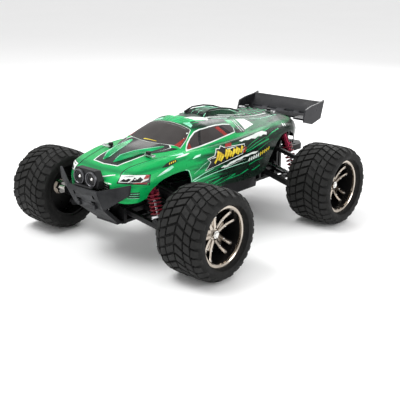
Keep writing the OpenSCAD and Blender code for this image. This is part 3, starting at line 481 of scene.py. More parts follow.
def flow(table, y):
    """The points of a table of sections at y, on curves that never overshoot the table."""
    stations = [row[0] for row in table]
    i = max(k for k in range(len(stations) - 1) if stations[k] <= y or k == 0)
    step = [b - a for a, b in zip(stations, stations[1:])]
    t = (y - stations[i]) / step[i]

    def value(pick):
        v = [pick(row) for row in table]
        slope = [(b - a) / s for a, b, s in zip(v, v[1:], step)]

        def tangent(k):
            if k in (0, len(v) - 1):
                return slope[min(k, len(slope) - 1)]
            a, b = slope[k - 1], slope[k]
            return 0 if a * b <= 0 else 2 * a * b / (a + b)

        return ((1 + 2 * t) * (1 - t) ** 2 * v[i] + t * (1 - t) ** 2 * step[i] * tangent(i)
            + t * t * (3 - 2 * t) * v[i + 1] + t * t * (t - 1) * step[i] * tangent(i + 1))

    return [Vector((value(lambda row: row[k][0]), value(lambda row: row[k][1])))
        for k in range(1, len(table[0]))]


def shell_row(y):
    """The shell's section at y from the left sill over the top to the right sill."""
    pts = flow(SHELL, y)
    half = [pts[0]]
    for k in range(1, len(pts)):
        last = k == len(pts) - 1
        corner = [pts[k]] if last else bezier_corner(pts[k - 1], pts[k], pts[k + 1], CORNER_REACH[k])
        n = COLUMNS[k - 1]
        half += [half[-1].lerp(corner[0], (j + 1) / n) for j in range(n - 1)] + corner
    left = [Vector((p.x, y, p.y)) for p in half]
    return left + [Vector((-p.x, p.y, p.z)) for p in left[-2::-1]]


def shell_surface():
    bm = bmesh.new()
    stations = sorted({row[0] for row in SHELL} | set(range(-154, 141, 2)))
    rows = [shell_row(y) for y in stations]
    grid = quads(bm, rows)
    for ends, inward in ((grid[0], 2.5), (grid[-1], -2.5)):
        # the end walls are drawn in a little, which gives the nose and the tail a rounded edge
        middle = sum((v.co for v in ends), Vector()) / len(ends)
        ring = [bm.verts.new(v.co.lerp(middle, 0.06) - Vector((0, inward * 0.6, 0))) for v in ends]
        for a, b, c, d in zip(ends, ends[1:], ring[1:], ring):
            bm.faces.new((a, b, c, d))
        bm.faces.new(ring)
    bmesh.ops.recalc_face_normals(bm, faces=bm.faces)
    return bm


surface = shell_surface()
SHELL_TREE = BVHTree.FromBMesh(surface)
if sum(f.normal.z * f.calc_area() for f in surface.faces) < 0:
    bmesh.ops.reverse_faces(surface, faces=surface.faces)

shell = piece("body_shell_look", surface, PAINT, "chassis", "body_paint", ["body_shell"], sharp=24)
applied(shell, ("SOLIDIFY", dict(thickness=SHELL_THICKNESS * MM, offset=-1, use_even_offset=True,
    thickness_clamp=1.0)))
cutter = bmesh.new()
for arch in ARCHES:
    prism(cutter, arch, -80, 80, "X")
for x, y in POSTS:
    for sx in (1, -1):
        turned(cutter, [(60, 0.01), (60, 2.9), (130, 2.9), (130, 0.01)], 24, (sx * x, y, 0), "Z",
            closed=False)
bmesh.ops.remove_doubles(cutter, verts=cutter.verts, dist=0.015)
bmesh.ops.recalc_face_normals(cutter, faces=cutter.faces)
cut_mesh = bpy.data.meshes.new("cutter")
cutter.to_mesh(cut_mesh)
cutter.free()
cut_mesh.transform(Matrix.Scale(MM, 4))
cut_obj = bpy.data.objects.new("cutter", cut_mesh)
bpy.context.scene.collection.objects.link(cut_obj)
applied(shell, ("BOOLEAN", dict(operation="DIFFERENCE", solver="EXACT", object=cut_obj)))
bpy.data.objects.remove(cut_obj)
shell.data.set_sharp_from_angle(angle=math.radians(28))

# ---------- patches on the shell ----------

PATCHES = {}
VIEWS = {
    # axis names give where a patch's two numbers go; rays start outside and run inwards
    "top": (lambda p, sx: Vector((sx * p[0], p[1], 200)), lambda sx: Vector((0, 0, -1))),
    "side": (lambda p, sx: Vector((sx * 120, p[0], p[1])), lambda sx: Vector((-sx, 0, 0))),
    "front": (lambda p, sx: Vector((sx * p[0], -220, p[1])), lambda sx: Vector((0, 1, 0))),
    "rear": (lambda p, sx: Vector((sx * p[0], 220, p[1])), lambda sx: Vector((0, -1, 0))),
}


def on_shell(view, p, sx=1, lift=0.0):
    """The point of the shell seen at p in a view, lifted off it."""
    start, way = VIEWS[view]
    hit, normal, _, _ = SHELL_TREE.ray_cast(start(p, sx), way(sx))
    if hit is None:
        hit, normal, _, _ = SHELL_TREE.find_nearest(start(p, sx))
    if normal.dot(way(sx)) > 0:
        normal = -normal
    return hit + normal * lift


def inside(p, outline):
    hit = False
    for a, b in zip(outline, outline[1:] + outline[:1]):
        if (a[1] > p[1]) != (b[1] > p[1]) and p[0] < (b[0] - a[0]) * (p[1] - a[1]) / (b[1] - a[1]) + a[0]:
            hit = not hit
    return hit


def film_bm(material):
    return PATCHES.setdefault(material.name, (material, bmesh.new()))[1]


def ring_of(outline, pitch):
    """The outline's points, with more between them so that they lie at most a pitch apart."""
    ring = []
    for a, b in zip(outline, outline[1:] + outline[:1]):
        a, b = Vector(a), Vector(b)
        n = max(1, math.ceil((b - a).length / pitch))
        ring += [a.lerp(b, k / n) for k in range(n)]
    return ring


def triangulated(ring, grid, merge):
    edges = [(k, (k + 1) % len(ring)) for k in range(len(ring))]
    flat, _, faces, *_ = geometry.delaunay_2d_cdt(ring + grid, edges, [], 1, merge)
    return flat, faces


def patch(view, outline, material, layer=1, pitch=2.2, sides=(1, -1)):
    """A thin film on the shell, given by its outline in a view and drawn on both sides."""
    ring = ring_of(outline, pitch)
    grid = []
    lo = [min(p[k] for p in ring) for k in (0, 1)]
    hi = [max(p[k] for p in ring) for k in (0, 1)]
    for i in range(1, math.ceil((hi[0] - lo[0]) / pitch)):
        for j in range(1, math.ceil((hi[1] - lo[1]) / pitch)):
            p = Vector((lo[0] + i * pitch, lo[1] + j * pitch))
            if inside(p, outline) and min((p - q).length for q in ring) > 0.45 * pitch:
                grid.append(p)
    flat, faces = triangulated(ring, grid, 1e-5)
    bm = film_bm(material)
    for sx in sides:
        top = [bm.verts.new(on_shell(view, p, sx, 0.07 + 0.09 * layer)) for p in flat]
        low = [bm.verts.new(on_shell(view, p, sx, -0.3)) for p in flat]
        count = {}
        for f in faces:
            bm.faces.new([top[k] for k in f])
            bm.faces.new([low[k] for k in reversed(f)])
            for a, b in zip(f, [*f[1:], f[0]]):
                count[(a, b)] = count.get((a, b), 0) + 1
        for a, b in count:
            if (b, a) not in count:
                bm.faces.new((top[a], low[a], low[b], top[b]))


def ribbon(view, path, width, material, layer=1, sides=(1, -1), taper=(1, 1)):
    """A line of a given width along a path in a view."""
    path = [Vector(p) for p in path]
    left, right = [], []
    for i, p in enumerate(path):
        a, b = path[max(0, i - 1)], path[min(len(path) - 1, i + 1)]
        t = (b - a).normalized()
        n = Vector((-t.y, t.x))
        f = i / (len(path) - 1)
        half = 0.5 * width * (taper[0] * (1 - f) + taper[1] * f)
        left.append(tuple(p + n * half))
        right.append(tuple(p - n * half))
    patch(view, left + right[::-1], material, layer, 1.6, sides)


def grown(outline, by):
    """An outline moved outwards by a distance."""
    pts = [Vector(p) for p in outline]
    area = sum(a.x * b.y - b.x * a.y for a, b in zip(pts, pts[1:] + pts[:1]))
    turn = 1 if area > 0 else -1
    out = []
    for i, p in enumerate(pts):
        a, b = (p - pts[i - 1]).normalized(), (pts[(i + 1) % len(pts)] - p).normalized()
        na, nb = turn * Vector((a.y, -a.x)), turn * Vector((b.y, -b.x))
        m = (na + nb).normalized()
        out.append(tuple(p + m * by / max(0.5, m.dot(na))))
    return out


def mirrored_outline(half):
    """Closes a half outline, from its front centre to its rear centre, over the middle."""
    return half + [(-x, y) for x, y in reversed(half) if abs(x) > 1e-6]


# hood: white line, dark centre, and the nose band
HOOD_HALF = [(0, -140.5), (16.2, -138), (19.2, -126), (22.4, -105), (30.4, -80.4), (26, -77.5), (12, -80.6),
    (0, -82)]
patch("top", grown(mirrored_outline(HOOD_HALF), 1.3), WHITE, 1, sides=(1,))
patch("top", mirrored_outline(HOOD_HALF), HOOD, 2, sides=(1,))
patch("top", [(22.6, -104), (31.6, -80), (37.4, -76.4), (33, -88), (26.6, -99)], BLACK_FILM, 3)
ribbon("top", [(0, -153.3), (12, -152.6), (24.5, -148.6)], 0.9, WHITE, 2)
ribbon("top", [(31.5, -149), (31, -141), (33.5, -128), (37.5, -112), (41.5, -96), (43.4, -84), (43.6, -76)],
    1.6, GREEN_FILM, 1, taper=(0.6, 1))
ribbon("top", [(29.5, -147.6), (29.2, -138), (31.6, -126), (35.6, -110), (40, -94)], 0.8, BLACK_FILM, 1,
    taper=(1.3, 0.3))
# painted highlight: the mint streak along the fender's top edge, widening towards the windscreen
ribbon("top", [(41.6, -95), (44.6, -86), (45.2, -77)], 2.6, MINT_FILM, 2, taper=(0.1, 1))

# windscreen, its pale line and red corners, with a painted highlight as a grey line inside its top edge
SCREEN_HALF = [(0, -81.6), (12, -80.2), (25, -77.2), (37.6, -73.4), (34.2, -61), (28.6, -48.6), (14, -48.6),
    (0, -48.4)]
patch("top", grown(mirrored_outline(SCREEN_HALF), 0.5), WHITE, 2, sides=(1,))
patch("top", mirrored_outline(SCREEN_HALF), WINDOW, 3, sides=(1,))
patch("top", [(32.6, -58.6), (37, -74), (31.5, -75.6)], RED_FILM, 4)
# painted highlight: a grey line just inside the windscreen's top edge
ribbon("top", [(-25, -51.2), (-10, -51.6), (10, -51.6), (25, -51.2)], 0.7, SMOKE_FILM, 4, sides=(1,))
ribbon("top", [(-9, -77.6), (9, -77.6)], 1.5, YELLOW_FILM, 4, sides=(1,), taper=(1, 0.4))

# side windows
WINDOW_SIDE = [(-69, 99.9), (-62, 104.6), (-55, 108.4), (-46, 112.2), (-38.8, 113.9), (-27, 114.8),
    (-15.6, 114.6), (-3, 113.6), (7.4, 111.8), (10, 108.8), (8.5, 105.2), (-8, 104.2),
    (-23.3, 103.1), (-50, 101.1)]
patch("side", grown(WINDOW_SIDE, 1.0), WHITE, 1)
patch("side", WINDOW_SIDE, WINDOW, 2)
patch("side", [(-41.5, 113), (-38.4, 113.6), (-47.4, 101.6), (-51, 101.2)], BLACK_FILM, 3)
patch("side", [(-18.6, 113.4), (-12.6, 113.6), (-4, 104.6), (-9.6, 104)], RED_FILM, 3)
patch("side", [(-12.4, 113.6), (-8, 113.4), (2, 105), (-3.8, 104.7)], BLACK_FILM, 3)
patch("side", [(-68, 100.2), (-60, 105.2), (-61.5, 100.6)], RED_FILM, 3)

# bars behind the window and the white panel on the rear pillar
patch("top", [(27.6, 26), (28, 40.2), (35.2, 48.6), (39.4, 28.6)], WHITE, 2)
for k in range(3):
    ribbon("top", [(29.6 + 1.4 * k, 30 + 1.2 * k), (32.5 + 1.6 * k, 43 - 1.6 * k)], 0.35, BLACK_FILM, 3)
for y in (16.5, 20.5):
    ribbon("top", [(28.6, y), (34, y + 1.6), (40.6, y + 4)], 0.9, WHITE, 2)
patch("top", [(28.8, 5), (29, 15), (33, 16), (39, 18.5), (36, 8)], GREEN_FILM, 1)
patch("side", [(10.5, 103.5), (12, 109.5), (24.5, 107.6), (28.5, 104.4), (25, 102)], BLACK_FILM, 1)

# roof: white flashes, vents and rails with stripes
patch("top", [(0, -47), (13, -46), (20, -33), (24, -20), (12, -29), (0, -31)], GREEN_FILM, 1)
patch("top", [(6, -34), (18, -30.5), (25, -16), (20, -12), (9, -24)], WHITE, 2)
patch("top", [(14.5, -44.5), (26.4, -45), (25, -41), (18, -38)], MINT_FILM, 2)
for k in range(5):
    x = 2.6 + 4.4 * k
    ribbon("top", [(x, -46), (x + 2.2, -38), (x + 4.2, -31)], 0.7, GREEN_FILM, 3, taper=(0.3, 1.3))
ribbon("top", [(18, -12), (21, 4), (22, 18), (20, 26)], 1.6, WHITE, 2, taper=(1.2, 0.4))
ribbon("top", [(22.5, -8), (25, 4), (25.6, 14)], 0.9, MINT_FILM, 2, taper=(0.3, 1))
ribbon("top", [(15.5, 10), (16.2, 40), (14, 62)], 2.2, WHITE, 2, taper=(1.2, 0.2))
ribbon("top", [(20, 28), (22.5, 48), (22, 70), (20, 92)], 1.5, WHITE, 2, taper=(0.2, 1))
ribbon("top", [(28.5, 50), (29.5, 66), (28.5, 86), (26.5, 104)], 0.9, MINT_FILM, 2, taper=(0.3, 0.6))

# rear deck: a row of slanting dark louvres with mint edges
for k in range(7):
    y = 34 + 11.2 * k
    reach = 20.5 - 0.6 * k
    patch("top", [(3.2, y), (reach, y + 4), (reach - 0.8, y + 9), (3.2, y + 5)], BLACK_FILM, 2)
    ribbon("top", [(3.4, y + 6), (reach - 0.8, y + 10.2)], 0.8, GREEN_FILM, 3)
    ribbon("top", [(3.4, y + 7.6), (reach - 3, y + 11.4)], 0.45, MINT_FILM, 3)

# flashes of the front wing
patch("side", [(-120.5, 85.5), (-113, 88.4), (-105, 90.8), (-98.5, 92), (-97, 90.3), (-104, 88.3),
    (-113, 86.6)],
    MINT_FILM, 1)
patch("side", [(-118, 86.7), (-110, 89.2), (-103, 90.5), (-108, 88.4)], WHITE, 2)
patch("side", [(-111, 92.2), (-104, 94.6), (-96, 96), (-90.5, 95.9), (-89.6, 94.4), (-96, 92.8),
    (-105, 91.7)],
    BLACK_FILM, 2)
for k in range(4):
    y = -101.4 + 2.7 * k
    ribbon("side", [(y, 93.2 + 0.3 * k), (y + 1.6, 94.4 + 0.3 * k)], 0.9, YELLOW_FILM, 3)
patch("side", [(-90.5, 97.0), (-84, 97.8), (-73, 98.2), (-69.4, 97.9), (-75, 96.9), (-84, 96.6)], WHITE, 2)
patch("side", [(-70, 92.6), (-64, 94.6), (-55.3, 94.9), (-58, 93.1)], MINT_FILM, 1)
patch("side", [(-66, 93.2), (-62, 94.3), (-57, 94.5), (-60, 93.4)], WHITE, 2)

# brush strokes and pin lines of the flank
UPPER_STROKE = [(6, 96.6), (14, 97.4), (30, 98.0), (44, 98.8), (53, 98.8), (60, 96.4), (57, 94.4),
    (51.5, 95.6),
    (46, 94.6), (41, 95.4), (34, 94.2), (28, 95.6), (22, 95), (15, 95.9), (10, 95.4)]
LOWER_STROKE = [(-29, 75.4), (-24, 77), (-20, 76.2), (-14, 78.6), (-8, 79.2), (8, 81.2), (24, 82.0),
    (35.5, 81),
    (30, 79.2), (22, 79.9), (16, 79.0), (9, 79.6), (4, 77.8), (-3, 78), (-8, 76.4), (-14, 76.4),
    (-19, 74.8)]
patch("side", UPPER_STROKE, WHITE, 2)
patch("side", LOWER_STROKE, WHITE, 2)
ribbon("side", [(-72.4, 68.8), (-53, 70.9), (-32.7, 72.4), (-8, 72.9), (13.2, 72.8), (40, 74.2)], 0.7,
    MINT_FILM, 1, taper=(1.4, 0.3))
ribbon("side", [(-82.8, 84.9), (-78.4, 83.4), (-73.8, 74.6), (-71.6, 67.2)], 0.8, MINT_FILM, 1)
ribbon("side", [(-24, 74.2), (-12, 75), (0, 76.4), (12, 76.8)], 0.5, WHITE, 2, taper=(1, 0.2))
for k, (a, b) in enumerate([((-70, 78), (-44, 88.6)), ((-72, 74), (-46, 82)), ((-71, 71), (-40, 77.4)),
    ((-60, 70.6), (-34, 75.2)), ((10.9, 85.3), (54.9, 92.8)), ((14, 83.8), (58, 90)),
    ((36, 82), (66, 88.4)), ((52, 91), (84, 96.4)), ((40, 95.2), (70, 99.2)),
    ((12, 87.6), (40, 94)), ((20, 68.4), (46, 71)), ((-66, 62), (-30, 66)),
    ((-52, 60), (-8, 64)), ((-36, 57.6), (4, 60.4))]):
    middle = (0.5 * (a[0] + b[0]), 0.5 * (a[1] + b[1]) + 0.9)
    ribbon("side", [a, middle, b], (0.5, 0.9, 1.5)[k % 3], (MINT_FILM,
        GREEN_FILM)[k % 2 if k < 4 else 1], 1,
        taper=(0.3, 1.0) if k % 2 else (1.0, 0.2))
for k in range(10):
    y = -62 + 11 * k
    ribbon("side", [(y, 58.6 + 0.25 * k), (y + 4, 61), (y + 15, 63.5)], 1.1, (GREEN_FILM,
        BLACK_FILM)[k % 2], 1,
        taper=(0.3, 1))

# a generic flash of slanted bars inside a jagged frame, without any lettering
FLASH = [(-32, 95.2), (-27.5, 94.6), (-24, 96.6), (-20, 94.4), (12, 92.4), (10.4, 88.6), (7, 88.4), (6,
    84.2),
    (-20, 81.6), (-53, 77.8), (-45, 85), (-49, 88.6), (-38, 89.6)]
patch("side", grown(FLASH, 0.7), WHITE, 2)
patch("side", FLASH, BLACK_FILM, 3)
BAR_HEIGHTS = [(0.0, 1.0), (0.16, 0.84), (0.0, 0.62), (0.32, 1.0), (0.0, 1.0), (0.12, 0.7), (0.0, 0.9),
    (0.26, 1.0), (0.0, 0.76), (0.1, 1.0)]
for k, (low, high) in enumerate(BAR_HEIGHTS):
    f = (k + 0.5) / len(BAR_HEIGHTS)
    foot = Vector((-42, 82.4)).lerp(Vector((4.4, 85.2)), f)
    head = Vector((-32.4, 92.8)).lerp(Vector((10, 91.4)), f)
    a, b = foot.lerp(head, low), foot.lerp(head, high)
    ribbon("side", [tuple(a), tuple(b)], 2.9, YELLOW_FILM, 4, taper=(0.85, 1))
patch("side", [(-18.5, 94.6), (-16, 97.4), (-6.5, 97.2), (-8.5, 94.2)], RED_FILM, 4)
patch("side", [(6.6, 84.6), (9.2, 91), (14, 89), (11, 84.8)], RED_FILM, 3)
for k in range(5):
    y = 18.6 + 4.2 * k
    ribbon("side", [(y, 72.6 + 0.5 * k), (y + 1.5, 76.2 + 0.5 * k)], 2.2, WHITE, 2, taper=(1, 0.8))
for k in range(5):
    y = 39.6 + 4.0 * k
    ribbon("side", [(y, 74.8 + 0.7 * k), (y + 1.5, 78.6 + 0.7 * k)], 2.1, YELLOW_FILM, 2, taper=(0.8, 1))
for k in range(6):
    y = 96 + 4 * k
    ribbon("side", [(y, 97 - 0.55 * k), (y + 1.4, 99.4 - 0.7 * k)], 2.0, (WHITE, SMOKE_FILM)[k > 1], 2)

# headlight sticker: white and black shapes with a red rear corner

def in_light(u, v):
    """A point of the headlight; u runs to the rear and v runs up, both 0 to 1."""
    a = Vector((31.6, -152.2, 83)).lerp(Vector((51.5, -132, 80.9)), u)
    b = Vector((30.9, -146.4, 89)).lerp(Vector((48.1, -126.4, 88.3)), u)
    return a.lerp(b, v)


def light_patch(outline, material, layer):
    """A film on the headlight's slope, cast along the slope's own direction."""
    way = Vector((-0.62, 0.74, -0.25)).normalized()
    ring = ring_of(outline, 0.08)
    grid = [Vector((i / 13, j / 5)) for i in range(1, 13) for j in range(1,
        5) if inside((i / 13, j / 5), outline)]
    flat, faces = triangulated(ring, grid, 1e-6)
    bm = film_bm(material)
    for sx in (1, -1):
        made = []
        for p in flat:
            start = in_light(*p) - 30 * way
            hit, normal, _, _ = SHELL_TREE.ray_cast(start, way)
            normal = -normal if normal.dot(way) > 0 else normal
            q = hit + normal * (0.07 + 0.09 * layer)
            made.append(bm.verts.new((sx * q.x, q.y, q.z)))
        for f in faces:
            bm.faces.new([made[k] for k in f])


light_patch([(-0.04, -0.08), (1.04, -0.08), (1.03, 1.06), (-0.03, 1.06)], BLACK_FILM, 1)
light_patch([(0, 0.08), (0.72, 0.12), (0.97, 0.5), (0.98, 1), (0, 1)], WHITE, 2)
light_patch([(0.8, 0.55), (0.96, 0.62), (0.99, 0.98), (0.86, 0.98)], RED_FILM, 3)
light_patch([(0.04, 0.2), (0.3, 0.16), (0.4, 0.5), (0.3, 0.62), (0.22, 0.42), (0.14, 0.56)], BLACK_FILM, 3)
light_patch([(0.36, 0.14), (0.72, 0.2), (0.8, 0.5), (0.68, 0.8), (0.6, 0.5), (0.5, 0.74), (0.45, 0.4)],
    BLACK_FILM, 3)
light_patch([(0.1, 0.72), (0.3, 0.78), (0.5, 0.86), (0.3, 0.9), (0.12, 0.84)], SMOKE_FILM, 3)
light_patch([(0.5, 0.0), (0.94, 0.06), (0.95, 0.2), (0.55, 0.12)], RED_FILM, 3)

# lip vents below the headlight and the grille between the lamps
for k in range(3):
    z = 74.2 - 2.2 * k
    ribbon("side", [(-148.6, z - 0.3), (-140.6, z)], 1.1, BLACK_FILM, 2)
    ribbon("side", [(-148.6, z - 1.1), (-140.8, z - 0.8)], 0.3, MINT_FILM, 2)
patch("front", [(1, 70), (17, 70.6), (24.6, 73), (24.8, 80.2), (12, 81.4), (1, 81.8)], BLACK_FILM, 2)
ribbon("front", [(0, 82.8), (12, 82.5), (25.6, 81.2)], 0.7, WHITE, 3)
for k in range(4):
    z = 72.4 + 2.4 * k
    ribbon("front", [(2, z), (13, z - 0.1), (23, z - 0.4)], 0.5, SMOKE_FILM, 3)
patch("rear", [(1.4, 76), (21, 76.8), (20.4, 90.6), (1.4, 91.6)], BLACK_FILM, 2)
for k in range(4):
    z = 79 + 3 * k
    ribbon("rear", [(3, z), (19, z)], 0.6, MINT_FILM, 3)

for material, bm in PATCHES.values():
    on_body("patch_" + material.name, bm, material)

# ---------- raised parts of the shell ----------


def ridge(bm, path, height, inner, outer, sx=1, stations=22):
    """A long raised fin on the shell along a top-view path, steep outside and shallow inside."""
    path = [Vector(p) for p in path]
    lengths = [(b - a).length for a, b in zip(path, path[1:])]
    total = sum(lengths)

    def at(s):
        for a, b, n in zip(path, path[1:], lengths):
            if s <= n or b is path[-1]:
                return a.lerp(b, min(1, s / n))
            s -= n

    rows = []
    for i in range(stations):
        f = i / (stations - 1)
        p = at(f * total)
        t = (at(min(1, f + 0.03) * total) - at(max(0, f - 0.03) * total)).normalized()
        n = Vector((t.y, -t.x))
        rise = height * min(1, (f / 0.14) ** 0.7) * min(1, ((1 - f) / 0.6) ** 0.8)
        spread = 0.35 + 0.65 * min(1, f / 0.12)
        row = []
        for u, h in ((-inner, -0.5), (-inner, 0.05), (-0.55 * inner, 0.55), (-0.6, 1), (0.1, 1),
            (0.6 * outer, 0.5), (outer, 0.05), (outer, -0.5)):
            q = p + n * u * spread
            foot = on_shell("top", q, 1)
            row.append(Vector((sx * foot.x, foot.y, foot.z + (h * rise if h > 0 else h))))
        rows.append(row)
    grid = quads(bm, rows, close_v=True)
    bm.faces.new(grid[0])
    bm.faces.new(grid[-1][::-1])
    return [row[3] for row in rows], [row[1] for row in rows]


fins, fin_highlights = bmesh.new(), bmesh.new()
for sx in SIDES.values():
    crest, foot = ridge(fins, [(7.4, -135.5), (10.2, -126), (14, -114), (18.2, -99), (21.4, -88),
        (23.6, -80.5)],
        4.4, 3.9, 2.2, sx)
    # painted highlights: mint tubes along each fin's crest and inner foot
    tube(fin_highlights, [p + Vector((0, 0, 0.05)) for p in crest[1:-2]], 0.32, 6)
    tube(fin_highlights, [p + Vector((0, 0, 0.12)) for p in foot[2:-6]], 0.28, 6)
on_body("hood_fins", fins, GREEN_FILM, sharp=30)
on_body("hood_fin_painted_highlights", fin_highlights, MINT_FILM)

# roof scoop: dark slatted front, pale sides, striped top
SCOOP_BACK, SCOOP_DOWN = 15, 2.6
SCOOP = [(-31, 121.4, 15.5, 16.5), (-21.5, 126.4, 13.2, 16), (-12, 127.4, 12.6, 15.6), (6, 126.4, 12, 15.2),
    (22, 122.6, 11.4, 14.6), (34, 118, 10.6, 13.6)]
SCOOP = [(y + SCOOP_BACK, z - SCOOP_DOWN, top, base) for y, z, top, base in SCOOP]
scoop = bmesh.new()
rows = []
for y, z, top, base in SCOOP:
    low = min(on_shell("top", (base, y)).z, z) - 1.2
    rows.append([(-base, y, low), (-top, y, z), (-top + 2.6, y, z + 0.15), (0, y, z + 0.3),
        (top - 2.6, y, z + 0.15), (top, y, z), (base, y, low)])
grid = quads(scoop, rows)
scoop.faces.new([v for v in grid[0]][::-1])
scoop.faces.new([v for v in grid[-1]])
scoop.faces.ensure_lookup_table()
for f in scoop.faces:
    c = f.calc_center_median()
    f.material_index = 1 if c.y < -21.5 + SCOOP_BACK else 0
scoop_obj = on_body("roof_scoop", scoop, [PAINT, BLACK], sharp=20)
bevel(scoop_obj, 0.5, 22)
slats, bright = bmesh.new(), bmesh.new()
for k in range(4):
    f = (k + 0.6) / 4.4
    y, z = -31 + 9.3 * f, 119.8 + 6.5 * f
    block(slats, (-12.6, y - 1.1, z - 0.2), (12.6, y + 0.5, z + 0.75))
for sx in SIDES.values():
    tube(bright, [(sx * 15.2, -31, 120.2), (sx * 13.1, -21.8, 126.7)], 0.6, 6)
    tube(bright, [(sx * 4.4, -30.6, 120.6), (sx * 4.2, -21.8, 127)], 0.3, 6)
    tube(bright, [(sx * 9.2, -12, 127.8), (sx * 8.8, 6, 126.9), (sx * 8.2, 22, 123.1),
        (sx * 7.6, 36, 118)], 0.5, 6)
    tube(bright, [(sx * 3.2, -20, 127.2), (sx * 3.2, 6, 127.1), (sx * 3, 22, 123.4)], 0.36, 6)
    # the rail is a dark beam along the scoop's upper edge
    rail = [(12.6, -27, 125.6), (12.8, -14, 128.9), (12.9, 4, 128.2), (12.8, 20, 125.2), (12.2, 36, 120)]
    tube(slats, [(sx * x, y, z) for x, y, z in rail], 0.95, 8)
for bm in (slats, bright):
    bmesh.ops.translate(bm, vec=(0, SCOOP_BACK, -SCOOP_DOWN), verts=bm.verts)
on_body("roof_slats", slats, BLACK, sharp=40)
on_body("roof_stripes", bright, MINT_FILM)

# ---------- lamps ---------------------

lamps = bmesh.new()
prism(lamps, [(-17, 76.4), (17, 76.4), (18, 84), (13.4, 93.2), (-13.4, 93.2), (-18, 84)], -164.2,
    -156.6, "Y")
prism(lamps, [(-12, 76.4), (12, 76.4), (12, 78.2), (-12, 78.2)], -168.8, -164, "Y")
lamps_obj = piece("lamp_pod", lamps, BLACK, "chassis", "lamp_lens", ["bumper_lamps"], sharp=30)
bevel(lamps_obj, 0.7, 30, 3)
bowls, posts, hoods = bmesh.new(), bmesh.new(), bmesh.new()
for sx in SIDES.values():
    at = (sx * 8.5, 0, 84.5)
    turned(hoods, [(-166.0, 7.2), (-165.4, 7.5), (-163.6, 7.6), (-163.6, 6.1), (-165.4, 6.0),
        (-166.0, 6.4)],
        48, at, "Y")
    turned(bowls, [(-164.4, 5.9), (-163.6, 4.6), (-162.9, 2.6), (-162.6, 0.9), (-162.6, 0.01)], 48, at, "Y",
        closed=False)
    turned(posts, [(-164.9, 0.01), (-164.8, 1.0), (-164.2, 1.5), (-162.7, 1.6)], 32, at, "Y", closed=False)
piece("lamp_hoods", hoods, DARK_STEEL, "chassis", "lamp_lens")
piece("lamp_bowls", bowls, DARK_STEEL, "chassis", "lamp_lens")
piece("lamp_posts", posts, CHROME, "chassis", "lamp_lens")

# ---------- wheels ----------

AXLES = {"front": -115.5, "rear": 87.5}
AXLE_Z = 43.5
TYRE_MID = 108
# outside and inside of the tyre: offset from its middle plane, radius
CARCASS = [(-25.6, 28.6), (-26.4, 31), (-27, 34), (-26.8, 36.6), (-25.4, 38.6), (-22.4, 40), (-17, 40.9),
    (-9, 41.3), (0, 41.4), (9, 41.3), (17, 40.9), (22.4, 40), (25.4, 38.6), (26.8, 36.6), (27, 34),
    (26.2, 31), (22.6, 30), (21.4, 28.4), (18, 28.4), (18, 31), (22, 34), (20, 37.4), (0, 38.4),
    (-20, 37.4), (-22, 34), (-18, 31), (-18, 28.4), (-21.6, 28.4), (-23, 30)]
TREAD = [(0.0, 43.45), (12.0, 43.4), (19.5, 42.8), (23.6, 41.6), (26.0, 39.4), (26.95, 37.4)]
# tread blocks as (angle, offset) outlines on one half; the other half is turned by half a pitch
BLOCKS = [
    [(0.00, 0.7), (0.36, 0.7), (0.62, 9.6), (0.26, 9.6)],
    [(0.50, 0.7), (0.86, 0.7), (1.12, 9.6), (0.76, 9.6)],
    [(0.32, 10.9), (0.69, 10.9), (0.86, 17.4), (0.66, 18.2), (0.42, 17.0)],
    [(0.82, 10.9), (1.19, 10.9), (1.36, 17.4), (1.16, 18.2), (0.92, 17.0)],
    [(0.02, 19.4), (0.38, 18.4), (0.44, 22.0), (0.38, 26.9), (0.08, 26.9)],
    [(0.52, 19.4), (0.88, 18.4), (0.94, 22.0), (0.86, 25.4), (0.58, 25.4)],
]
REPEATS = 15


def tread_point(offset, drop):
    """Radius at an offset from the tyre's middle; drop 0 is the block's top and 1 lies in the carcass."""
    u = abs(offset)
    for (u0, r0), (u1, r1) in zip(TREAD, TREAD[1:]):
        if u <= u1 or u1 == TREAD[-1][0]:
            r = r0 + (r1 - r0) * min(1, (u - u0) / (u1 - u0))
            break
    return r - 3.2 * drop


def tyre_mesh(axle):
    bm = bmesh.new()
    turned(bm, [(TYRE_MID + u, r) for u, r in CARCASS], 120)
    pitch = 2 * math.pi / REPEATS
    for half in (1, -1):
        for k in range(REPEATS):
            start = pitch * (k + (0.5 if half < 0 else 0))
            for outline in BLOCKS:
                centre = sum((Vector(p) for p in outline), Vector((0, 0))) / len(outline)
                rings = []
                for shrink, drop in ((1.0, 1.0), (1.0, 0.12), (0.94, 0.0)):
                    ring = []
                    for p in outline:
                        q = centre.lerp(Vector(p), shrink)
                        a = start + q.x * pitch
                        r = tread_point(q.y, drop)
                        reach = min(q.y, 26.9) - (0.8 * drop if q.y > 24 else 0)
                        ring.append(bm.verts.new((TYRE_MID + half * reach,
                            r * math.cos(a), r * math.sin(a))))
                    rings.append(ring)
                n = len(outline)
                bm.faces.new(rings[0])
                bm.faces.new(rings[2][::-1])
                for low, high in zip(rings, rings[1:]):
                    for i in range(n):
                        bm.faces.new((low[i], low[(i + 1) % n], high[(i + 1) % n], high[i]))
    bmesh.ops.translate(bm, vec=(0, axle, AXLE_Z), verts=bm.verts)
    return bm


RIM_LIP = [(126.8, 26.2), (127.6, 25.7), (129.4, 25.9), (130.2, 27), (130.3, 28.6), (129.9, 29.7),
    (128.8, 30),
    (127.3, 29.9), (127.0, 28)]
RIM_BARREL = [(84.1, 29.9), (85.4, 29.9), (87, 28.2), (125.4, 28.2), (126.9, 28.6), (126.9, 26.4), (120,
    26),
    (112, 26.2), (101, 26.4), (84.1, 26.2)]
HUB = [(104, 2.6), (104, 8), (112, 8), (114, 7.4), (116.2, 5.8), (117.6, 5.2), (117.6, 2.6)]


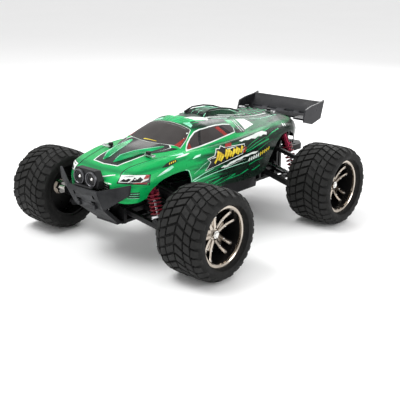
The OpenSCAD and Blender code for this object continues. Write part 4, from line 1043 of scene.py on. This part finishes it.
def spoke(bm, turn):
    """A forked spoke from the hub to the rim, bowed outwards; the rivets at its tips are made with the
    wheel's hardware.
    """
    made = []
    for side in (1, -1):
        rows = []
        for i in range(9):
            f = i / 8
            r = 5.5 + (26.3 - 5.5) * f
            mid = side * (2.3 + 2.9 * f ** 0.9)
            half = 2.05 - 0.35 * f
            front = 118.6 - 1.6 * f + 4.4 * f ** 3
            back = front - 3.6 + 0.8 * f
            rows.append([(back, mid - half, r), (front - 0.5, mid - half, r), (front, mid - 0.35 * half, r),
                (front, mid + 0.35 * half, r), (front - 0.5, mid + half, r), (back, mid + half, r)])
        grid = quads(bm, rows, close_v=True)
        made += [bm.faces.new(grid[0]), bm.faces.new(grid[-1][::-1])]
        made += [v for row in grid for v in row]
    web = [(-3.2, 6.5), (3.2, 6.5), (4.9, 18), (0, 15.5), (-4.9, 18)]
    made += prism(bm, web, 114.6, 117.2, "X")
    verts = [v for v in made if isinstance(v, bmesh.types.BMVert)]
    bmesh.ops.rotate(bm, cent=(0, 0, 0), matrix=Matrix.Rotation(turn, 3, "X"), verts=verts)


def wheel(end, side):
    sx, axle = SIDES[side], AXLES[end]
    flip = Matrix.Scale(-1, 4, (1, 0, 0)) if sx < 0 else Matrix.Identity(4)
    body, slot = f"{end}_wheel_{side}", "rim_chrome"

    def finish(name, bm, material, into, replaces=(), sharp=32, move=True):
        if move:
            bmesh.ops.translate(bm, vec=(0, axle, AXLE_Z), verts=bm.verts)
        bmesh.ops.transform(bm, matrix=flip, verts=bm.verts)
        return piece(f"{name}_{end}_{side}", bm, material, body, into, replaces, sharp)

    finish("tyre_look", tyre_mesh(axle), RUBBER, "tyre_rubber", [f"tyre_{end}_{side}"], 38, move=False)

    bright = bmesh.new()
    turned(bright, RIM_LIP, 96)
    turned(bright, HUB, 40)
    for k in range(5):
        spoke(bright, 2 * math.pi * (k + 0.12) / 5)
    finish("rim_face", bright, SMOKED, slot)

    barrel = bmesh.new()
    turned(barrel, RIM_BARREL, 96)
    # the ribbed back wall behind the spokes
    turned(barrel, [(104.2, 7.9), (104.2, 26.3), (106.4, 26.3), (106.0, 20), (107.2, 14), (107.6, 7.9)], 64)
    finish("rim_barrel_look", barrel, BARREL, slot, [f"rim_{end}_{side}"])

    small = bmesh.new()
    for k in range(5):
        a = 2 * math.pi * (k + 0.12) / 5
        for off, r in ((5.0, 24.4), (-5.0, 24.4), (3.9, 15.5), (-3.9, 15.5)):
            y, z = (off * math.cos(a) - r * math.sin(a), off * math.sin(a) + r * math.cos(a))
            f = (r - 5.5) / 20.8
            x = 118.6 - 1.6 * f + 4.4 * f ** 3
            turned(small, [(x - 0.6, 0.9), (x + 0.15, 0.9), (x + 0.5, 0.6), (x + 0.62, 0.01)], 12, (0,
                y, z),
                closed=False)
    # lock nut, shaft end and drive hexagon
    prism(small, hexagon(3.9), 117.7, 120.6, "X")
    turned(small, [(119.5, 2.4), (121.2, 2.4), (121.6, 2.0), (121.6, 0.01)], 24, closed=False)
    prism(small, hexagon(6.9), 98, 103.9, "X")
    start = 72.4 if end == "rear" else 78.4
    turned(small, [(start, 0.01), (start, 2.4), (98, 2.4), (98, 0.01)], 24, closed=False)
    if end == "rear":
        turned(small, [(63.4, 5.5), (63.4, 4.3), (71.1, 4.3), (71.1, 0.01)], 32, closed=False)
        turned(small, [(63.4, 5.5), (72.1, 5.5), (72.4, 4.8), (72.4, 0.01)], 32, closed=False)
    finish("rim_hardware", small, CHROME, slot, sharp=30)


for end in AXLES:
    for side in SIDES:
        wheel(end, side)

# ---------- shock absorbers ----------

SHOCKS = {"front": ((42, 85), (54.5, 43.5), -122, 0.0127), "rear": ((41, 89), (59.5, 47), 98, 0.0107)}
SPRING_TOP = 16.3
SPRING_R = 5.6
WIRE = 0.8
TURNS = 6.5


def coil(bm, place, top, bottom):
    """A coil spring between two distances along a shock; its end turns lie flat."""
    steps = 150
    points = []
    for i in range(steps + 1):
        f = i / steps
        flat = 0.09
        g = max(0, min(1, (f - flat) / (1 - 2 * flat)))
        along = top + WIRE + (bottom - top - 2 * WIRE) * (0.04 * f + 0.96 * g)
        a = 2 * math.pi * TURNS * f
        points.append(place(along, SPRING_R * math.cos(a), SPRING_R * math.sin(a)))
    tube(bm, points, WIRE, 8)


for end, (eye, foot, y, stroke) in SHOCKS.items():
    for side, sx in SIDES.items():
        down = Vector((foot[0] - eye[0], 0, foot[1] - eye[1]))
        length = down.length
        down.normalize()
        across = Vector((-down.z, 0, down.x))

        def place(along, u, v):
            p = Vector((eye[0], y, eye[1])) + down * along + across * u + Vector((0, v, 0))
            return Vector((sx * p.x, p.y, p.z))

        def round_part(bm, profile, segments=40):
            rows = [[place(along, r * math.cos(a), r * math.sin(a)) for along, r in profile]
                for a in (2 * math.pi * k / segments for k in range(segments))]
            quads(bm, rows, close_u=True)

        wire = bmesh.new()
        bottom = length - 6
        coil(wire, place, SPRING_TOP, bottom)
        spring = piece(f"spring_look_{end}_{side}", wire, SPRING_RED, f"shock_{end}_{side}", "spring_steel",
            [f"spring_{end}_{side}"])
        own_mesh(spring)

        tube_bm = bmesh.new()
        round_part(tube_bm, [(2.4, 0.01), (2.4, 4.1), (3, 4.5), (8.2, 4.5), (8.6, 4.4), (9.2, 4.2),
            (13.4, 4.2),
            (13.5, 6.4), (13.8, 6.6), (15.2, 6.6), (15.5, 6.4), (15.5, 4.3), (16.4, 4.3),
            (16.6, 4.05), (22.4, 4.05), (23, 3.6), (23, 1.35), (22, 1.35), (22, 0.01)])
        piece(f"shock_tube_{end}_{side}", tube_bm, ANODISED, f"shock_{end}_{side}", "shock_anodised",
            sharp=30)

# ---------- parts that keep their CAD shape, with rounded edges ----------

# node, material, body, edge width
ROUNDED = [("battery_door", BLACK, "door", 0.3), ("power_switch", DARK_BOX, "switch", 0.2),
    ("steering_rack", BLACK, "rack", 0.2)]
ROUNDED += [(node, material, "chassis", width) for node, material, width in (
    ("chassis_tub", BLACK, 0.4), ("control_box", DARK_BOX, 0.5), ("battery_pack", WRAP, 0.8),
    ("steering_servo", DARK_BOX, 0.4), ("front_shock_tower", BLACK, 0.35), ("rear_shock_tower", BLACK, 0.35),
    ("gearbox_case", BLACK, 0.4), ("gearbox_cover", BLACK, 0.4), ("front_bumper", GRAINED, 0.5),
    ("rear_bumper", BLACK, 0.6), ("rear_wing", WING, 0.45), ("drive_motor", CAN, 0.4))]
ROUNDED += [(f"{node}_{side}", ARM, f"{body}_{side}", width) for side in SIDES for node, body, width in (
    ("front_arm", "front_arm", 0.35), ("rear_arm", "rear_arm", 0.35), ("front_link", "front_link", 0.3),
    ("rear_link", "rear_link", 0.3), ("caster_block", "caster", 0.3), ("steering_knuckle", "knuckle", 0.3),
    ("rear_hub", "hub", 0.3))]
slots = {part["node"]: part["material_slot"] for part in frame["record"]["subparts"]}
for node, material, body, width in ROUNDED:
    soften(node, material, body, slots[node], width)

KEPT = {
    "servo_horn": STEEL, "motor_pinion": BRASS, "diff_gear": DARK_STEEL, "screws": DARK_STEEL,
    "body_clips": STEEL, "drive_dogbone": STEEL, "tie_rod": ARM, "shock_body": ANODISED, "shock_rod": STEEL,
}
for node, obj in NODES.items():
    for start, material in KEPT.items():
        if node.startswith(start):
            obj.data.materials.clear()
            obj.data.materials.append(material)
            for f in obj.data.polygons:
                f.material_index = 0

# ---------- floor and lights ----------

ground = bmesh.new()
quads(ground, [[(x, y, 0) for y in range(-6000, 6001, 400)] for x in range(-6000, 6001, 400)])
floor_mesh = bpy.data.meshes.new("floor")
bmesh.ops.recalc_face_normals(ground, faces=ground.faces)
ground.to_mesh(floor_mesh)
ground.free()
floor_mesh.transform(Matrix.Scale(MM, 4))
floor = bpy.data.objects.new("floor", floor_mesh)
bpy.context.scene.collection.objects.link(floor)
floor_graph = Graph("floor")
floor_graph.set(Base_Color=floor_graph.mix(floor_graph.noise(3, 2), (0.93, 0.93, 0.93), (0.96, 0.96, 0.96)))
floor_graph.set(Roughness=floor_graph.range(floor_graph.noise(40, 2), 0.3, 0.7, 0.8, 0.9))
floor_mesh.materials.append(floor_graph.material)

world = bpy.data.worlds.new("world")
world.use_nodes = True
world.node_tree.nodes["Background"].inputs["Color"].default_value = (1, 1, 1, 1)
world.node_tree.nodes["Background"].inputs["Strength"].default_value = 0.85
bpy.context.scene.world = world


def area_light(name, location, target, size, power):
    data = bpy.data.lights.new(name, "AREA")
    data.shape = "RECTANGLE"
    data.size, data.size_y = size
    data.energy = power
    obj = bpy.data.objects.new(name, data)
    obj.location = location
    obj.rotation_euler = (Vector(target) - Vector(location)).to_track_quat("-Z", "Y").to_euler()
    bpy.context.scene.collection.objects.link(obj)


area_light("key", (-0.35, -0.5, 1.1), (0, 0, 0.05), (0.7, 0.5), 9)
area_light("side", (1.1, 0.2, 0.55), (0, 0, 0.06), (0.5, 0.6), 4)
area_light("rim", (-0.2, 0.9, 0.7), (0, 0, 0.08), (0.8, 0.4), 5)
